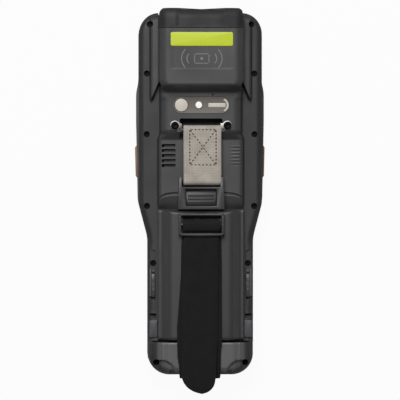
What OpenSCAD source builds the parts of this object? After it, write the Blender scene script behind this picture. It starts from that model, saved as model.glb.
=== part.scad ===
// Rugged handheld terminal with a keypad, a scanner head, a camera, a battery under a
// hinged cover and a hand strap. It lies on its front face: +Z points out of its back,
// +Y to the scanner head. The origin is on the front face, between screen and keypad.

/* [Case] */
// Length of the case without its nose
case_len = 201.8; // [199:0.2:212]
// Width across the head
head_w = 69; // [67:0.5:70]
// Width across the triggers, the widest place
body_w = 71.6; // [71:0.2:76]
// Width of the handle
grip_w = 59; // [57:0.5:62]
// Height of the front case, up to the parting line
front_h = 12; // [12:0.1:13]
// Height of the flange of the rear case
flange_h = 18.5; // [18:0.1:19.5]
// Thickness of the moulded walls
wall = 2; // [1.6:0.1:2.4]
// Radius of the shoulders of the case in plan
shoulder_r = 11; // [9:0.5:13]
// Radius of the corners at the heel in plan
heel_r = 12; // [10:0.5:14]
// Gap between moulded parts that meet
seam = 0.3; // [0.2:0.05:0.4]

/* [Scanner head] */
// Width of the raised spine along the back
spine_w = 48; // [46:0.5:49]
// Height of the scanner hump above the plateau
hump_rise = 9.5; // [8:0.1:11]
// Length of the hump, from the top edge of the case to its step
hump_len = 40.5; // [38:0.5:42]
// Length of the nose, past the seam in the hump
nose_len = 8.2; // [7:0.1:10]
// How far the nose stands out past the case
nose_out = 3.2; // [2.5:0.1:4]
// Width of the nose
nose_w = 46.8; // [44:0.2:47.4]
// Width of the scan window
scan_w = 30; // [26:0.5:33]
// Height of the scan window
scan_h = 12; // [10:0.5:13]

/* [Camera plateau] */
// Height of the floor round the loudspeaker slots
deck_h = 22; // [21.5:0.1:23]
// Height of the plateau round the camera window above that floor
plateau_rise = 4.5; // [4:0.1:5]
// Length of the plateau
plateau_len = 21; // [20:0.5:22]
// Length of the camera window
lens_w = 31.6; // [29:0.2:34]
// Height of the camera window across its round ends
lens_h = 9.3; // [8.6:0.1:10]
// Length of the floor round the slots, down to the finger scoop
deck_len = 31; // [30:0.2:32]
// Length of the finger scoop
scoop_len = 8.5; // [8:0.1:10]

/* [Battery cover] */
// Height of the battery cover above the floor round the slots
cover_rise = 5.4; // [5:0.1:6.4]
// Thickness of the battery cover
cover_t = 1.8; // [1.5:0.1:2.2]
// Radius of the rounded sides of the cover
cover_r = 7; // [6:0.5:8]
// Length of the heel below the cover
heel_len = 18.2; // [17:0.2:20]
// How much lower the heel is than the cover
heel_drop = 1.4; // [0.8:0.1:2.4]

/* [Strap] */
// Width of the grey webbing tab
tab_w = 21.2; // [20:0.2:22]
// Width of the black strap
strap_w = 21.6; // [20:0.2:22]
// Width of the strap's free tail
tail_w = 19; // [17:0.2:20]
// Thickness of one layer of strap
strap_t = 1.6; // [1.3:0.1:1.8]
// How far the tail hangs past the heel
tail_out = 11.8; // [8:0.2:16]
// Radius of the steel strap bar
bar_r = 1.2; // [1:0.1:1.4]
// Width of the clasp frame
clasp_w = 26.2; // [25.6:0.2:28]
// Length of the clasp frame
clasp_len = 18; // [17.4:0.2:18.6]

/* [Front] */
// Width of the display glass
glass_w = 60; // [56:0.5:61]
// Rim between the display glass and the head end of the case
glass_margin = 3.8; // [3:0.1:8]
// Width of a small key
key_w = 13; // [12:0.2:14]
// Length of a small key
key_len = 9; // [8:0.2:10]
// Spacing of the keys across the case
key_pitch_x = 16.6; // [16.2:0.1:16.8]
// Rim between the keypad and the foot end of the case
pad_margin = 13.8; // [11:0.1:21]
// Travel of a key
key_travel = 0.7; // [0.5:0.1:0.8]
// Gap round a key
key_gap = 0.35; // [0.3:0.05:0.5]

/* [Triggers] */
// Length of a side trigger
trigger_len = 18; // [16:0.5:20]
// Height of a side trigger
trigger_h = 6.6; // [6:0.1:7]
// How far a trigger stands out of the case
trigger_out = 0.9; // [0.7:0.1:1.4]
// Travel of a trigger
trigger_travel = 0.6; // [0.4:0.1:0.6]

/* [Battery and board] */
// Width of the battery pack
battery_w = 40; // [38:0.5:41]
// Free length of the battery bay below the pack
battery_foot = 9.5; // [9:0.1:18]
// Thickness of the main board
board_t = 1.6; // [1.2:0.1:1.8]

/* [Hidden] */
$fn = 48;

// Heights of the back
plateau_h = deck_h + plateau_rise;
hump_h = plateau_h + hump_rise;
cover_h = deck_h + cover_rise;
heel_h = cover_h - heel_drop;

// Layout along Y: the origin is this far from the middle of the case
origin_offset = 1.6;
top_y = case_len / 2 - origin_offset;
bottom_y = top_y - case_len;
nose_y = top_y + nose_out;
nose_seam_y = top_y - nose_len;
hump_end = top_y - hump_len;
hump_slope = 4;
plateau_start = hump_end - hump_slope;
plateau_end = plateau_start - plateau_len;
plateau_slope = 4.6;
deck_start = plateau_end - plateau_slope;
deck_end = deck_start - deck_len;
scoop_end = deck_end - scoop_len;
scoop_h = flange_h + 0.7;
cover_top = scoop_end - seam;
heel_seam = 1;
heel_start = bottom_y + heel_len;
cover_bottom = heel_start + heel_seam;

// Plan outline of the case
flare_len = 6;
flare_start = hump_end + 3;
flare_end = flare_start - flare_len;
belly_end = flare_end - 16;
waist_start = deck_end - 3.2;
waist_end = waist_start - 20.5;
waist_w = body_w - 1.8;
waist_r = 20;

// Front face
bridge = 3;
front_wall = 4.2;
glass_t = 1.6;
glass_sink = 0.4;
glass_gap = 0.15;
glass_len = top_y - glass_margin - bridge / 2;
glass_y = bridge / 2 + glass_len / 2;
panel_w = glass_w - 6.6;
panel_len = glass_len - 5.6;
panel_t = 2.6;
pad_sink = 1.4;
pad_w = 2 * key_pitch_x + key_w + 4;
pad_top = -bridge / 2;
number_rows = 4;
number_columns = 3;
row_inset = 3.4;
function_y = [pad_top - row_inset - key_len / 2, pad_top - row_inset - key_len * 1.5 - 4];
pad_bottom = bottom_y + pad_margin;
key_pitch_y = (function_y[1] - pad_bottom - row_inset - key_len / 2) / number_rows;
number_y = function_y[1] - key_pitch_y;
scan_key_w = key_w + 3;
scan_key_len = function_y[0] - function_y[1] + key_len;
key_top = 0.5;
key_flange = 0.6;
key_flange_t = 0.8;
key_r = 2;

// Heights of what lies inside the case
membrane_t = 0.8;
board_z = front_wall + seam + key_flange_t + key_travel + 0.8 + membrane_t;
board_w = grip_w - 2 * wall - 8;
board_margin = 12;
gasket_t = 0.6;
can_t = 1.6;
can_sizes = [[24, 30], [18, 22], [30, 18]];
can_spots = [[-12, deck_start], [13, deck_start], [0, waist_end - 24]];
earpiece_size = [14, 4];
bay_floor = 1.4;
bay_floor_z = front_h + bay_floor;
battery_gap = 0.3;
battery_z = bay_floor_z + battery_gap;
battery_t = cover_h - cover_t - 1.6 - battery_z;
contacts_t = 3;
bay_wall = 1.6;
bay_w = spine_w - 2 * cover_t - 0.8;
bay_top = cover_top - bay_wall;
battery_top = bay_top - contacts_t - battery_gap;
battery_len = battery_top - cover_bottom - battery_foot;

// Case screws: [x, y] on the right side, in holes that go deep into the flange
screw_r = 1;
screw_head_r = 1.6;
screw_hole_r = 1.75;
screw_sink = 3.2;
screw_head_t = 1.2;
driver_r = 0.8;
boss_r = 2.6;
screw_spots = [
    [head_w / 2 - 6, top_y - 5.5],
    [head_w / 2 - 4.4, top_y - 33.1],
    [body_w / 2 - 5.6, plateau_end - 1.6],
    [waist_w / 2 - 4.9, scoop_end + 2.3],
    [grip_w / 2 - 2.9, waist_end - 14.5]
];
heel_screw = [grip_w / 2 - 4.6, bottom_y + 7];

// Strap bar, clasp and straps
bar_run = 0.1;
bar_y = plateau_end + 0.8;
bar_z = plateau_h - 1.9;
bar_ear_x = 14.7;
bar_ear_y = bar_y + 2.4;
bar_ear_r = 2.7;
bar_ear_t = 0.9;
tab_t = 1.3;
pocket_x = tab_w / 2 + 1.4;
pocket_top = bar_ear_y + 3.7;
tab_loop_r = bar_r + bar_run + tab_t;
clasp_top = deck_end + 9.9;
clasp_end = clasp_top - clasp_len;
clasp_z = cover_h - 0.2;
clasp_rail = (clasp_w - tab_w - 1) / 2;
cross_y = clasp_top - 2;
cross_z = clasp_z - 1.8;
pad_key_w = 16.8;
pad_key_len = 7.9;
pad_key_y = deck_end - 2.1;
pad_key_t = 2.2;
pad_key_travel = 1.2;
pad_key_gap = 0.2;
tongue_w = 8;
tongue_t = 1;
strap_gap = 0.2;
base_z = cover_h + strap_gap;
tail_z = base_z + strap_t + strap_gap;
frame_top = cover_top - 1.4;
frame_len = 14.2;
frame_end = frame_top - frame_len;
frame_rail = 1.5;
frame_bar_len = 1.9;
frame_h = tail_z + strap_t + strap_gap;
inner_bar_r = 1;
inner_bar_y = frame_top - 6.4;
strap_loop_r = inner_bar_r + bar_run + strap_t;
inner_bar_z = base_z + strap_loop_r;
cover_swing = 70;
fold_h = tail_z + strap_t - cover_h;
fold_r = norm([fold_h, fold_h * tan(cover_swing / 2) + 0.4]);
tail_y = -tail_out + bottom_y;
tail_start = frame_end + frame_bar_len + 0.2;
seal_h = 0.6;
seal_t = 1.2;
hook_z = flange_h + seam + seal_h + 0.8;
slot_z = front_h + 5.2;

// Camera group and scan window
lens_y = plateau_start - 6.9;
lens_sink = 1.2;
lens_x = -10.6;
flash_x = -1.3;
light_bar_x = 8.9;
scan_z = front_h + 11;
engine_w = 22;
engine_len = 12;
engine_foot = 6;
engine_roof = 2.7;
engine_y = nose_seam_y - engine_len / 4;
engine_lens_r = 3;
coil_w = 34;
coil_len = 16;
coil_band = 3;
coil_y = hump_end + 15.5;
sticker_w = 34.7;
sticker_len = 7.7;
sticker_y = nose_seam_y - 6.1;
scan_sink = 1.6;
scan_t = 1.4;
scan_r = 2.5;

// Triggers
trigger_y = deck_start - 3.2 - trigger_len / 2;
trigger_z = 2.4;
trigger_gap = 0.25;
trigger_lip = 1;

// Catches for a pistol grip
catch_w = 2.2;
catch_sink = 0.5;
catch_t = 1.9;
catch_len = 13;
catch_x = grip_w / 2 - 2.9;
catch_y = waist_end - 27;

// Data socket and its flap
socket_w = 9;
socket_h = 3.3;
socket_len = 7.4;
socket_z = 6;
flap_w = 17;
flap_h = 7.4;
flap_t = 1.5;
flap_gap = 0.2;
flap_pin_r = 0.5;
flap_pin_run = 0.05;
flap_hinge_z = socket_z + flap_h / 2 - 1;

number_keys = [for (i = [1:number_rows * number_columns]) str("number_key_", i)];
function_keys = [for (i = [1:4]) str("function_key_", i)];

// ---- helpers ----

function unit(v) = v / norm(v);

// Points of the arc of radius r that rounds corner b between neighbours a and c
function corner_arc(a, b, c, r, n) =
    let (
        u = unit(a - b),
        v = unit(c - b),
        half = acos(u * v) / 2,
        centre = b + unit(u + v) * r / sin(half),
        start = b + u * r / tan(half) - centre,
        stop = b + v * r / tan(half) - centre,
        from = atan2(start[1], start[0]),
        turn = atan2(stop[1], stop[0]) - from,
        sweep = turn > 180 ? turn - 360 : turn < -180 ? turn + 360 : turn
    )
    [for (i = [0:n]) centre + r * [cos(from + sweep * i / n), sin(from + sweep * i / n)]];

// Rounded polygon from corners [x, y, radius, steps]
function rounded(p) = [
    for (i = [0:len(p) - 1])
        let (a = p[(i + len(p) - 1) % len(p)], b = p[i], c = p[(i + 1) % len(p)])
            each corner_arc([a[0], a[1]], [b[0], b[1]], [c[0], c[1]], b[2], b[3])
];

function rounded_box(w, h, r, n = 5) = rounded([
    [w / 2, -h / 2, r, n], [w / 2, h / 2, r, n], [-w / 2, h / 2, r, n], [-w / 2, -h / 2, r, n]
]);

function mirrored(p) = [for (i = [len(p) - 1:-1:0]) [-p[i][0], p[i][1], p[i][2], p[i][3]]];

// Corners of the right side of the case in plan, from heel to head
function case_side(inset) = [
    [grip_w / 2 - inset, bottom_y + inset, heel_r - inset, 6],
    [grip_w / 2 - inset, waist_end, waist_r + inset, 3],
    [waist_w / 2 - inset, waist_start, waist_r - inset, 3],
    [body_w / 2 - inset, belly_end, waist_r - inset, 1],
    [body_w / 2 - inset, flare_end, waist_r - inset, 2],
    [head_w / 2 - inset, flare_start, waist_r + inset, 2],
    [head_w / 2 - inset, top_y - inset, shoulder_r - inset, 6]
];

function case_outline(inset) =
    let (side = case_side(inset)) rounded(concat(side, mirrored(side)));

function at_z(outline, z) = [for (p = outline) [p[0], p[1], z]];

// Closed solid through rings of equal length, each ring counter-clockwise seen from
// the last one. Each end is closed by a fan round the middle of its ring.
module loft(rings) {
    n = len(rings[0]);
    last = len(rings) - 1;
    ones = [for (p = rings[0]) 1];
    foot = n * (last + 1);
    sides = [
        for (k = [0:last - 1], i = [0:n - 1])
            [k * n + i, (k + 1) * n + i, (k + 1) * n + (i + 1) % n, k * n + (i + 1) % n]
    ];
    polyhedron(
        points = concat(
            [for (ring = rings) each ring],
            [ones * rings[0] / n, ones * rings[last] / n]
        ),
        faces = concat(
            [for (i = [0:n - 1]) [foot, i, (i + 1) % n]],
            sides,
            [for (i = [0:n - 1]) [foot + 1, last * n + (i + 1) % n, last * n + i]]
        ),
        convexity = 8
    );
}

// Section of the spine across X: flat foot, upright sides, rounded top corners
function spine_ring(y, w, h, r, foot) = [
    for (p = concat(
        [[-w / 2, foot], [w / 2, foot]],
        [for (i = [0:5]) [w / 2 - r + r * cos(18 * i), h - r + r * sin(18 * i)]],
        [for (i = [0:5]) [-w / 2 + r - r * sin(18 * i), h - r + r * cos(18 * i)]]
    )) [p[0], y, p[1]]
];

// Ribbon of thickness t along a path of [y, z] points, in the Y-Z plane
function ribbon(path, t) =
    let (
        last = len(path) - 1,
        side = [
            for (i = [0:last])
                let (d = unit(path[min(i + 1, last)] - path[max(i - 1, 0)]))
                    [-d[1], d[0]] * t / 2
        ]
    )
    concat(
        [for (i = [0:last]) path[i] + side[i]],
        [for (i = [last:-1:0]) path[i] - side[i]]
    );

// Draws a Y-Z outline and pulls it out across X to a width w, centred
module across(w) {
    translate([-w / 2, 0, 0])
        rotate([90, 0, 90])
            linear_extrude(w) children();
}

module block(w, len_y, z0, z1, y = 0, x = 0) {
    translate([x - w / 2, y - len_y / 2, z0]) cube([w, len_y, z1 - z0]);
}

module plate(outline, z0, z1, y = 0, x = 0) {
    translate([x, y, z0]) linear_extrude(z1 - z0) polygon(outline);
}

module both_sides() {
    children();
    mirror([1, 0, 0]) children();
}

module at_screws() {
    both_sides() {
        for (spot = screw_spots) translate([spot[0], spot[1], 0]) children();
    }
}

module at_heel_screws() {
    both_sides() translate([heel_screw[0], heel_screw[1], 0]) children();
}

// ---- front half ----

module front_case() {
    color([0.22, 0.22, 0.23]) difference() {
        union() {
            difference() {
                loft([
                    at_z(case_outline(1.6), 0),
                    at_z(case_outline(0.6), 0.6),
                    at_z(case_outline(0), 2),
                    at_z(case_outline(0), front_h)
                ]);
                plate(case_outline(wall), front_wall, front_h + 1);
            }
            at_screws() translate([0, 0, front_wall]) cylinder(r = boss_r, h = front_h - front_wall);
            at_heel_screws()
                translate([0, 0, front_wall]) cylinder(r = boss_r, h = front_h - front_wall);
            both_sides() {
                block(10, 5, front_wall, board_z, top_y - board_margin - 8, board_w / 2 + 4);
                block(3, 3, front_wall, board_z, bottom_y + board_margin + 1.5, board_w / 2);
            }
        }
        plate(rounded_box(glass_w + 2 * glass_gap, glass_len + 2 * glass_gap, 5), -1,
            glass_sink + glass_t + 0.2, glass_y);
        block(panel_w + 0.6, panel_len + 0.6, -1, front_wall + 1, glass_y);
        plate(rounded_box(pad_w, pad_top - pad_bottom, 5), -1, pad_sink, (pad_top + pad_bottom) / 2);
        key_places() translate([0, 0, -1])
            linear_extrude(front_wall + 2) polygon(rounded_box($w + 2 * key_gap, $l + 2 * key_gap,
                key_r + key_gap));
        at_screws() translate([0, 0, front_wall + 0.6]) cylinder(r = screw_r, h = front_h);
        at_heel_screws() translate([0, 0, front_wall + 0.6]) cylinder(r = screw_r, h = front_h);
        both_sides() translate([body_w / 2 - wall - 3, 0, 0]) trigger_window();
        flap_pocket();
        dock_pins(0.05);
    }
}

// Places of all keys, with $w and $l set to each key's size
module key_places() {
    $w = scan_key_w;
    $l = scan_key_len;
    translate([0, (function_y[0] + function_y[1]) / 2, 0]) children();
    for (i = [1:4]) function_place(i) children();
    for (i = [1:number_rows * number_columns]) number_place(i) children();
}

module function_place(i) {
    $w = key_w;
    $l = key_len;
    translate([(i % 2 == 1 ? -1 : 1) * key_pitch_x, function_y[i > 2 ? 1 : 0], 0]) children();
}

module number_place(i) {
    $w = key_w;
    $l = key_len;
    column = (i - 1) % number_columns - (number_columns - 1) / 2;
    row = floor((i - 1) / number_columns);
    translate([column * key_pitch_x, number_y - row * key_pitch_y, 0]) children();
}

module key() {
    flange_z = front_wall + seam;
    plate(rounded_box($w - 0.8, $l - 0.8, key_r - 0.4), key_top, key_top + 0.4);
    plate(rounded_box($w, $l, key_r), key_top + 0.4, flange_z);
    plate(rounded_box($w + 2 * key_flange, $l + 2 * key_flange, key_r), flange_z,
        flange_z + key_flange_t);
}

module scan_key() {
    $w = scan_key_w;
    $l = scan_key_len;
    color([0.85, 0.45, 0.1])
        translate([0, (function_y[0] + function_y[1]) / 2, 0]) key();
}

module function_key(i) {
    color([0.35, 0.36, 0.38]) function_place(i) key();
}

module number_key(i) {
    color([0.75, 0.76, 0.78]) number_place(i) key();
}

module display_glass() {
    color([0.05, 0.05, 0.06])
        plate(rounded_box(glass_w, glass_len, 5 - glass_gap), glass_sink, glass_sink + glass_t,
            glass_y);
}

module display_panel() {
    color([0.1, 0.11, 0.13])
        block(panel_w, panel_len, glass_sink + glass_t + 0.2, glass_sink + glass_t + 0.2 + panel_t,
            glass_y);
}

module key_membrane() {
    color([0.3, 0.3, 0.3]) difference() {
        plate(rounded_box(pad_w - 8, pad_top - pad_bottom - 6, 3), board_z - membrane_t, board_z,
            (pad_top + pad_bottom) / 2);
        membrane_vents();
    }
}

module membrane_vents() {
    for (side = [-1, 1], row = [0:number_rows - 1])
        translate([side * key_pitch_x / 2, number_y - row * key_pitch_y, board_z - membrane_t - 1])
            cylinder(r = 0.6, h = membrane_t + 2);
}

module main_board() {
    board_top = top_y - board_margin;
    board_bottom = bottom_y + board_margin;
    color([0.05, 0.3, 0.15])
        block(board_w, board_top - board_bottom, board_z, board_z + board_t,
            (board_top + board_bottom) / 2);
}

module shield_cans() {
    can_z = board_z + board_t;
    color([0.75, 0.75, 0.76])
        for (i = [0:2])
            block(can_sizes[i][0], can_sizes[i][1], can_z, can_z + can_t, can_spots[i][1],
                can_spots[i][0]);
}

module earpiece() {
    color([0.15, 0.15, 0.15])
        block(earpiece_size[0], earpiece_size[1], glass_sink + glass_t + 0.2 + panel_t + 0.2,
            board_z - 0.3, top_y - board_margin - earpiece_size[1]);
}

module case_gasket() {
    color([0.1, 0.1, 0.1]) difference() {
        plate(case_outline(wall + 0.3), front_h - gasket_t, front_h);
        plate(case_outline(wall + 1.1), front_h - gasket_t - 1, front_h + 1);
        at_screws() translate([0, 0, front_h - 2]) cylinder(r = boss_r + 0.3, h = 4);
        at_heel_screws() translate([0, 0, front_h - 2]) cylinder(r = boss_r + 0.3, h = 4);
    }
}

// ---- data socket ----

module flap_pocket() {
    translate([-flap_w / 2 - flap_gap, bottom_y - 1, socket_z - flap_h / 2 - flap_gap])
        cube([flap_w + 2 * flap_gap, flap_t + flap_gap + 1, flap_h + 2 * flap_gap]);
    translate([-socket_w / 2 - 0.1, bottom_y, socket_z - socket_h / 2 - 0.1])
        cube([socket_w + 0.2, socket_len + wall + 2, socket_h + 0.2]);
    translate([-flap_w / 2 - 1.5, bottom_y + flap_t / 2, flap_hinge_z]) rotate([0, 90, 0])
        cylinder(r = flap_pin_r + 0.02, h = flap_w + 3);
}

module data_socket() {
    socket_y = bottom_y + flap_t + 0.6;
    color([0.8, 0.8, 0.8]) difference() {
        translate([-socket_w / 2, socket_y, socket_z - socket_h / 2])
            cube([socket_w, socket_len, socket_h]);
        translate([-socket_w / 2 + 0.35, socket_y - 1, socket_z - socket_h / 2 + 0.35])
            cube([socket_w - 0.7, socket_len, socket_h - 0.7]);
    }
    color([0.1, 0.1, 0.1])
        translate([-socket_w / 2 + 1.2, socket_y + 0.8, socket_z - 0.35])
            cube([socket_w - 2.4, socket_len - 1, 0.7]);
}

module socket_flap() {
    knuckle_r = flap_t / 2;
    color([0.12, 0.12, 0.12]) difference() {
        union() {
            translate([-flap_w / 2, bottom_y, socket_z - flap_h / 2])
                cube([flap_w, flap_t, flap_hinge_z - socket_z + flap_h / 2]);
            translate([-flap_w / 2, bottom_y + knuckle_r, flap_hinge_z]) rotate([0, 90, 0])
                cylinder(r = knuckle_r, h = flap_w);
        }
        translate([-flap_w / 2 - 1, bottom_y + knuckle_r, flap_hinge_z]) rotate([0, 90, 0])
            cylinder(r = flap_pin_r + flap_pin_run, h = flap_w + 2);
        translate([-4, bottom_y - 1, socket_z - flap_h / 2 - 1]) cube([8, 1.4, 1.8]);
    }
}

module flap_pin() {
    color([0.7, 0.7, 0.7])
        translate([-flap_w / 2 - 1.4, bottom_y + flap_t / 2, flap_hinge_z]) rotate([0, 90, 0])
            cylinder(r = flap_pin_r, h = flap_w + 2.8);
}

module dock_pins(grow) {
    both_sides() for (i = [0:2])
        translate([flap_w / 2 + 3 + 2.4 * i, bottom_y, socket_z]) rotate([-90, 0, 0])
            cylinder(r = 0.8 + grow, h = wall + 1);
}

module dock_contacts() {
    color([0.85, 0.7, 0.3]) dock_pins(0);
}

// ---- triggers ----

module trigger_window() {
    translate([0, trigger_y - trigger_len / 2 - trigger_gap, trigger_z])
        cube([wall + 8, trigger_len + 2 * trigger_gap, trigger_h + 2 * trigger_gap]);
}

// Half width of the case where the trigger sits: the belly narrows evenly to the waist
function belly_x(y) =
    body_w / 2 - (body_w - waist_w) / 2 * (belly_end - y) / (belly_end - waist_start);

module trigger_right() {
    y0 = trigger_y - trigger_len / 2;
    y1 = trigger_y + trigger_len / 2;
    z0 = trigger_z + trigger_gap;
    lip_x = belly_x(y0) - wall - seam;
    lip_z = front_wall + seam;
    color([0.62, 0.36, 0.18]) {
        translate([0, 0, z0]) linear_extrude(trigger_h) polygon([
            [lip_x, y0],
            [belly_x(y0) + trigger_out - 0.6, y0],
            [belly_x(y0) + trigger_out, y0 + 1.2],
            [belly_x(y1) + trigger_out, y1 - 1.2],
            [belly_x(y1) + trigger_out - 0.6, y1],
            [lip_x, y1]
        ]);
        translate([lip_x - trigger_lip, y0 - trigger_lip, lip_z])
            cube([trigger_lip, trigger_len + 2 * trigger_lip, z0 + trigger_h - lip_z]);
    }
}

module trigger_left() {
    mirror([1, 0, 0]) trigger_right();
}

module trigger_switches() {
    tip_x = belly_x(trigger_y - trigger_len / 2) - wall - seam - trigger_lip - trigger_travel - 0.2;
    color([0.8, 0.8, 0.82]) both_sides()
        translate([board_w / 2 - 3, trigger_y - 3, board_z - 2.4])
            cube([tip_x - board_w / 2 + 3, 6, 2.4]);
}

// ---- rear half ----

// Corners of the right side of the rear case, which ends where the heel cap starts
function rear_outline(inset) =
    let (
        side = case_side(inset),
        foot = [grip_w / 2 - inset, heel_start, 0.3, 1],
        sides = concat([foot], [for (i = [1:len(side) - 1]) side[i]])
    )
    rounded(concat(sides, mirrored(sides)));

module flange() {
    loft([
        at_z(rear_outline(0), front_h),
        at_z(rear_outline(0), flange_h - 3.4),
        at_z(rear_outline(0.7), flange_h - 1.6),
        at_z(rear_outline(2), flange_h - 0.5),
        at_z(rear_outline(3.6), flange_h)
    ]);
}

// Prism along Y with two rounded top edges
module ridge(y0, y1, w, h, r, foot = front_h) {
    translate([0, y1, 0]) rotate([90, 0, 0]) linear_extrude(y1 - y0) {
        translate([-w / 2, foot]) square([w, h - r - foot]);
        translate([-w / 2 + r, foot]) square([w - 2 * r, h - foot]);
        for (side = [-1, 1]) translate([side * (w / 2 - r), h - r]) circle(r = r);
    }
}

// Shoulder ridges beside the head, which run down to a point at the plateau
module shoulders() {
    w = head_w - 12.5;
    top = flange_h + 4.5;
    intersection() {
        ridge(plateau_start - 6, top_y - 1.5, w, top, 3);
        plate([
            [w / 2 - 3.5, top_y - 1.5], [w / 2, top_y - 6], [w / 2, hump_end + 6],
            [spine_w / 2 - 1, plateau_start - 6], [-spine_w / 2 + 1, plateau_start - 6],
            [-w / 2, hump_end + 6], [-w / 2, top_y - 6], [-w / 2 + 3.5, top_y - 1.5]
        ], front_h, top + 1);
    }
}

// Side view of the spine from nose seam to finger scoop, as [y, z], shrunk by inset
function spine_profile(inset) = [
    [nose_seam_y + inset, front_h - inset],
    [nose_seam_y + inset, hump_h - inset],
    [hump_end + 1.2 + inset, hump_h - inset],
    [hump_end + inset, hump_h - 0.7 - inset],
    [plateau_start + 0.6 + inset, plateau_h + 0.7 - inset],
    [plateau_start - 0.4 + inset, plateau_h - inset],
    [plateau_end + 0.6 + inset, plateau_h - inset],
    [plateau_end - 0.3 + inset, plateau_h - 0.6 - inset],
    [deck_start + inset, deck_h - inset],
    [deck_end + inset, deck_h - inset],
    [deck_end - 0.4 + inset, deck_h - 0.8 - inset],
    [deck_end - 3 + inset, deck_h - 1.2 - inset],
    [scoop_end + 2.4 + inset, scoop_h + 0.9 - inset],
    [scoop_end + inset, scoop_h - inset],
    [scoop_end + inset, front_h - inset]
];

module spine() {
    intersection() {
        union() {
            ridge(plateau_start - 1, nose_seam_y, spine_w, hump_h, 5);
            ridge(deck_start - 1, nose_seam_y, spine_w, plateau_h, 4);
            ridge(scoop_end, nose_seam_y, spine_w, deck_h, 4);
        }
        across(body_w) polygon(spine_profile(0));
    }
}

module rear_case() {
    color([0.28, 0.28, 0.29]) difference() {
        union() {
            difference() {
                union() {
                    flange();
                    shoulders();
                    spine();
                }
                head_hollow();
                handle_hollow();
            }
            at_screws()
                translate([0, 0, front_h]) cylinder(r = boss_r, h = flange_h - front_h - 1.6);
            camera_seat();
        }
        battery_bay();
        nose_cut();
        at_screws() screw_cut();
        camera_pocket();
        speaker_slots();
        bar_pocket();
        catch_block(0.15, 2 * catch_sink);
    }
}

// The room inside the head and under the spine
module head_hollow() {
    difference() {
        plate(case_outline(wall), front_h - 1, flange_h - wall);
        block(body_w, case_len, front_h - 2, flange_h, scoop_end + wall - case_len / 2);
    }
    across(spine_w - 2 * wall - 2) polygon(spine_profile(wall));
}

// Light pockets under the flange strips beside the battery
module handle_hollow() {
    both_sides()
        translate([bay_w / 2 + bay_wall, heel_start + 4, front_h - 1])
            cube([grip_w / 2 - wall - bay_w / 2 - bay_wall, waist_end - 17 - heel_start,
                flange_h - front_h - wall]);
}

module battery_bay() {
    translate([-bay_w / 2, cover_bottom + seam, bay_floor_z])
        cube([bay_w, bay_top - cover_bottom - seam, cover_h]);
}

module nose_cut() {
    translate([-nose_w / 2 - seam, nose_seam_y, front_h - 1])
        cube([nose_w + 2 * seam, nose_len + nose_out, hump_h]);
}

module screw_cut() {
    translate([0, 0, front_h - 1]) cylinder(r = screw_r + 0.2, h = flange_h);
    translate([0, 0, flange_h - screw_sink]) cylinder(r = screw_hole_r, h = hump_h);
}

// Blocks under the plateau that hold the camera, the strap bar and its pocket
module camera_seat() {
    intersection() {
        block(2 * pocket_x + 3, pocket_top - deck_start + 3, deck_h - wall,
            plateau_h - wall + 0.2, (pocket_top + deck_start) / 2);
        across(body_w) polygon(spine_profile(0));
    }
    block(lens_w + 4, lens_h + 3.4, plateau_h - 5, plateau_h - wall + 0.2, lens_y);
    both_sides() block(7, 8, plateau_h - 7, plateau_h - wall + 0.2, bar_ear_y, bar_ear_x);
}

module lens_slot(grow, z0, z1) {
    r = lens_h / 2 + grow;
    run = lens_w / 2 - lens_h / 2;
    translate([-run, lens_y, z0]) cylinder(r = r, h = z1 - z0);
    translate([run, lens_y, z0]) cylinder(r = r, h = z1 - z0);
    block(2 * run, 2 * r, z0, z1, lens_y);
}

module camera_pocket() {
    lens_slot(0.15, plateau_h - lens_sink - 0.2, plateau_h + 1);
    translate([lens_x, lens_y, plateau_h - 8]) cylinder(r = 3.6, h = 8);
    translate([flash_x, lens_y, plateau_h - 8]) cylinder(r = 2, h = 8);
    block(9.4, 2.6, plateau_h - 8, plateau_h, lens_y, light_bar_x);
    translate([6.5, plateau_start - 0.9, plateau_h - 4]) cylinder(r = 0.5, h = 6);
}

module speaker_slots() {
    for (i = [0:4])
        block(7.6, 1.5, deck_h - 4, deck_h + 1, deck_start - 3.8 - 2.8 * i, -18);
}

module bar_pocket() {
    translate([-pocket_x, deck_start, deck_h - 0.4])
        cube([2 * pocket_x, pocket_top - deck_start, plateau_h]);
    both_sides() {
        translate([bar_ear_x, bar_ear_y, plateau_h - bar_ear_t])
            cylinder(r = bar_ear_r + 0.2, h = 3);
        translate([bar_ear_x, bar_ear_y, plateau_h - 8]) cylinder(r = screw_r + 0.2, h = 9);
        block(4, 2 * bar_r + 0.4, deck_h - 0.4, plateau_h + 2, bar_y, tab_w / 2 + 1.2);
        block(4, bar_ear_y - bar_y + 2 * bar_r + 0.4, plateau_h - 2 * bar_ear_t - 1.7, plateau_h + 2,
            (bar_y + bar_ear_y) / 2, tab_w / 2 + 1.2);
    }
}

// ---- scanner head ----

module head_cap() {
    w = nose_w;
    color([0.25, 0.25, 0.26]) difference() {
        union() {
            loft([
                spine_ring(nose_y, w - 4, hump_h - 5.5, 4, front_h + seam),
                spine_ring(nose_y - 1.2, w - 0.8, hump_h - 3, 5, front_h + seam),
                spine_ring(nose_y - 4, w, hump_h - 1.4, 5, front_h + seam),
                spine_ring(nose_seam_y + seam, w, hump_h - 0.3, 5, front_h + seam)
            ]);
        }
        translate([-w / 2 + wall, nose_seam_y - 1, front_h - 1])
            cube([w - 2 * wall, nose_len + nose_out - wall - 1.2, hump_h - front_h - 3.4]);
        scan_opening(0.15, 3);
        plate(rounded_box(18, 2.6, 1), hump_h - 0.9, hump_h + 1, nose_y - 0.4);
    }
}

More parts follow.
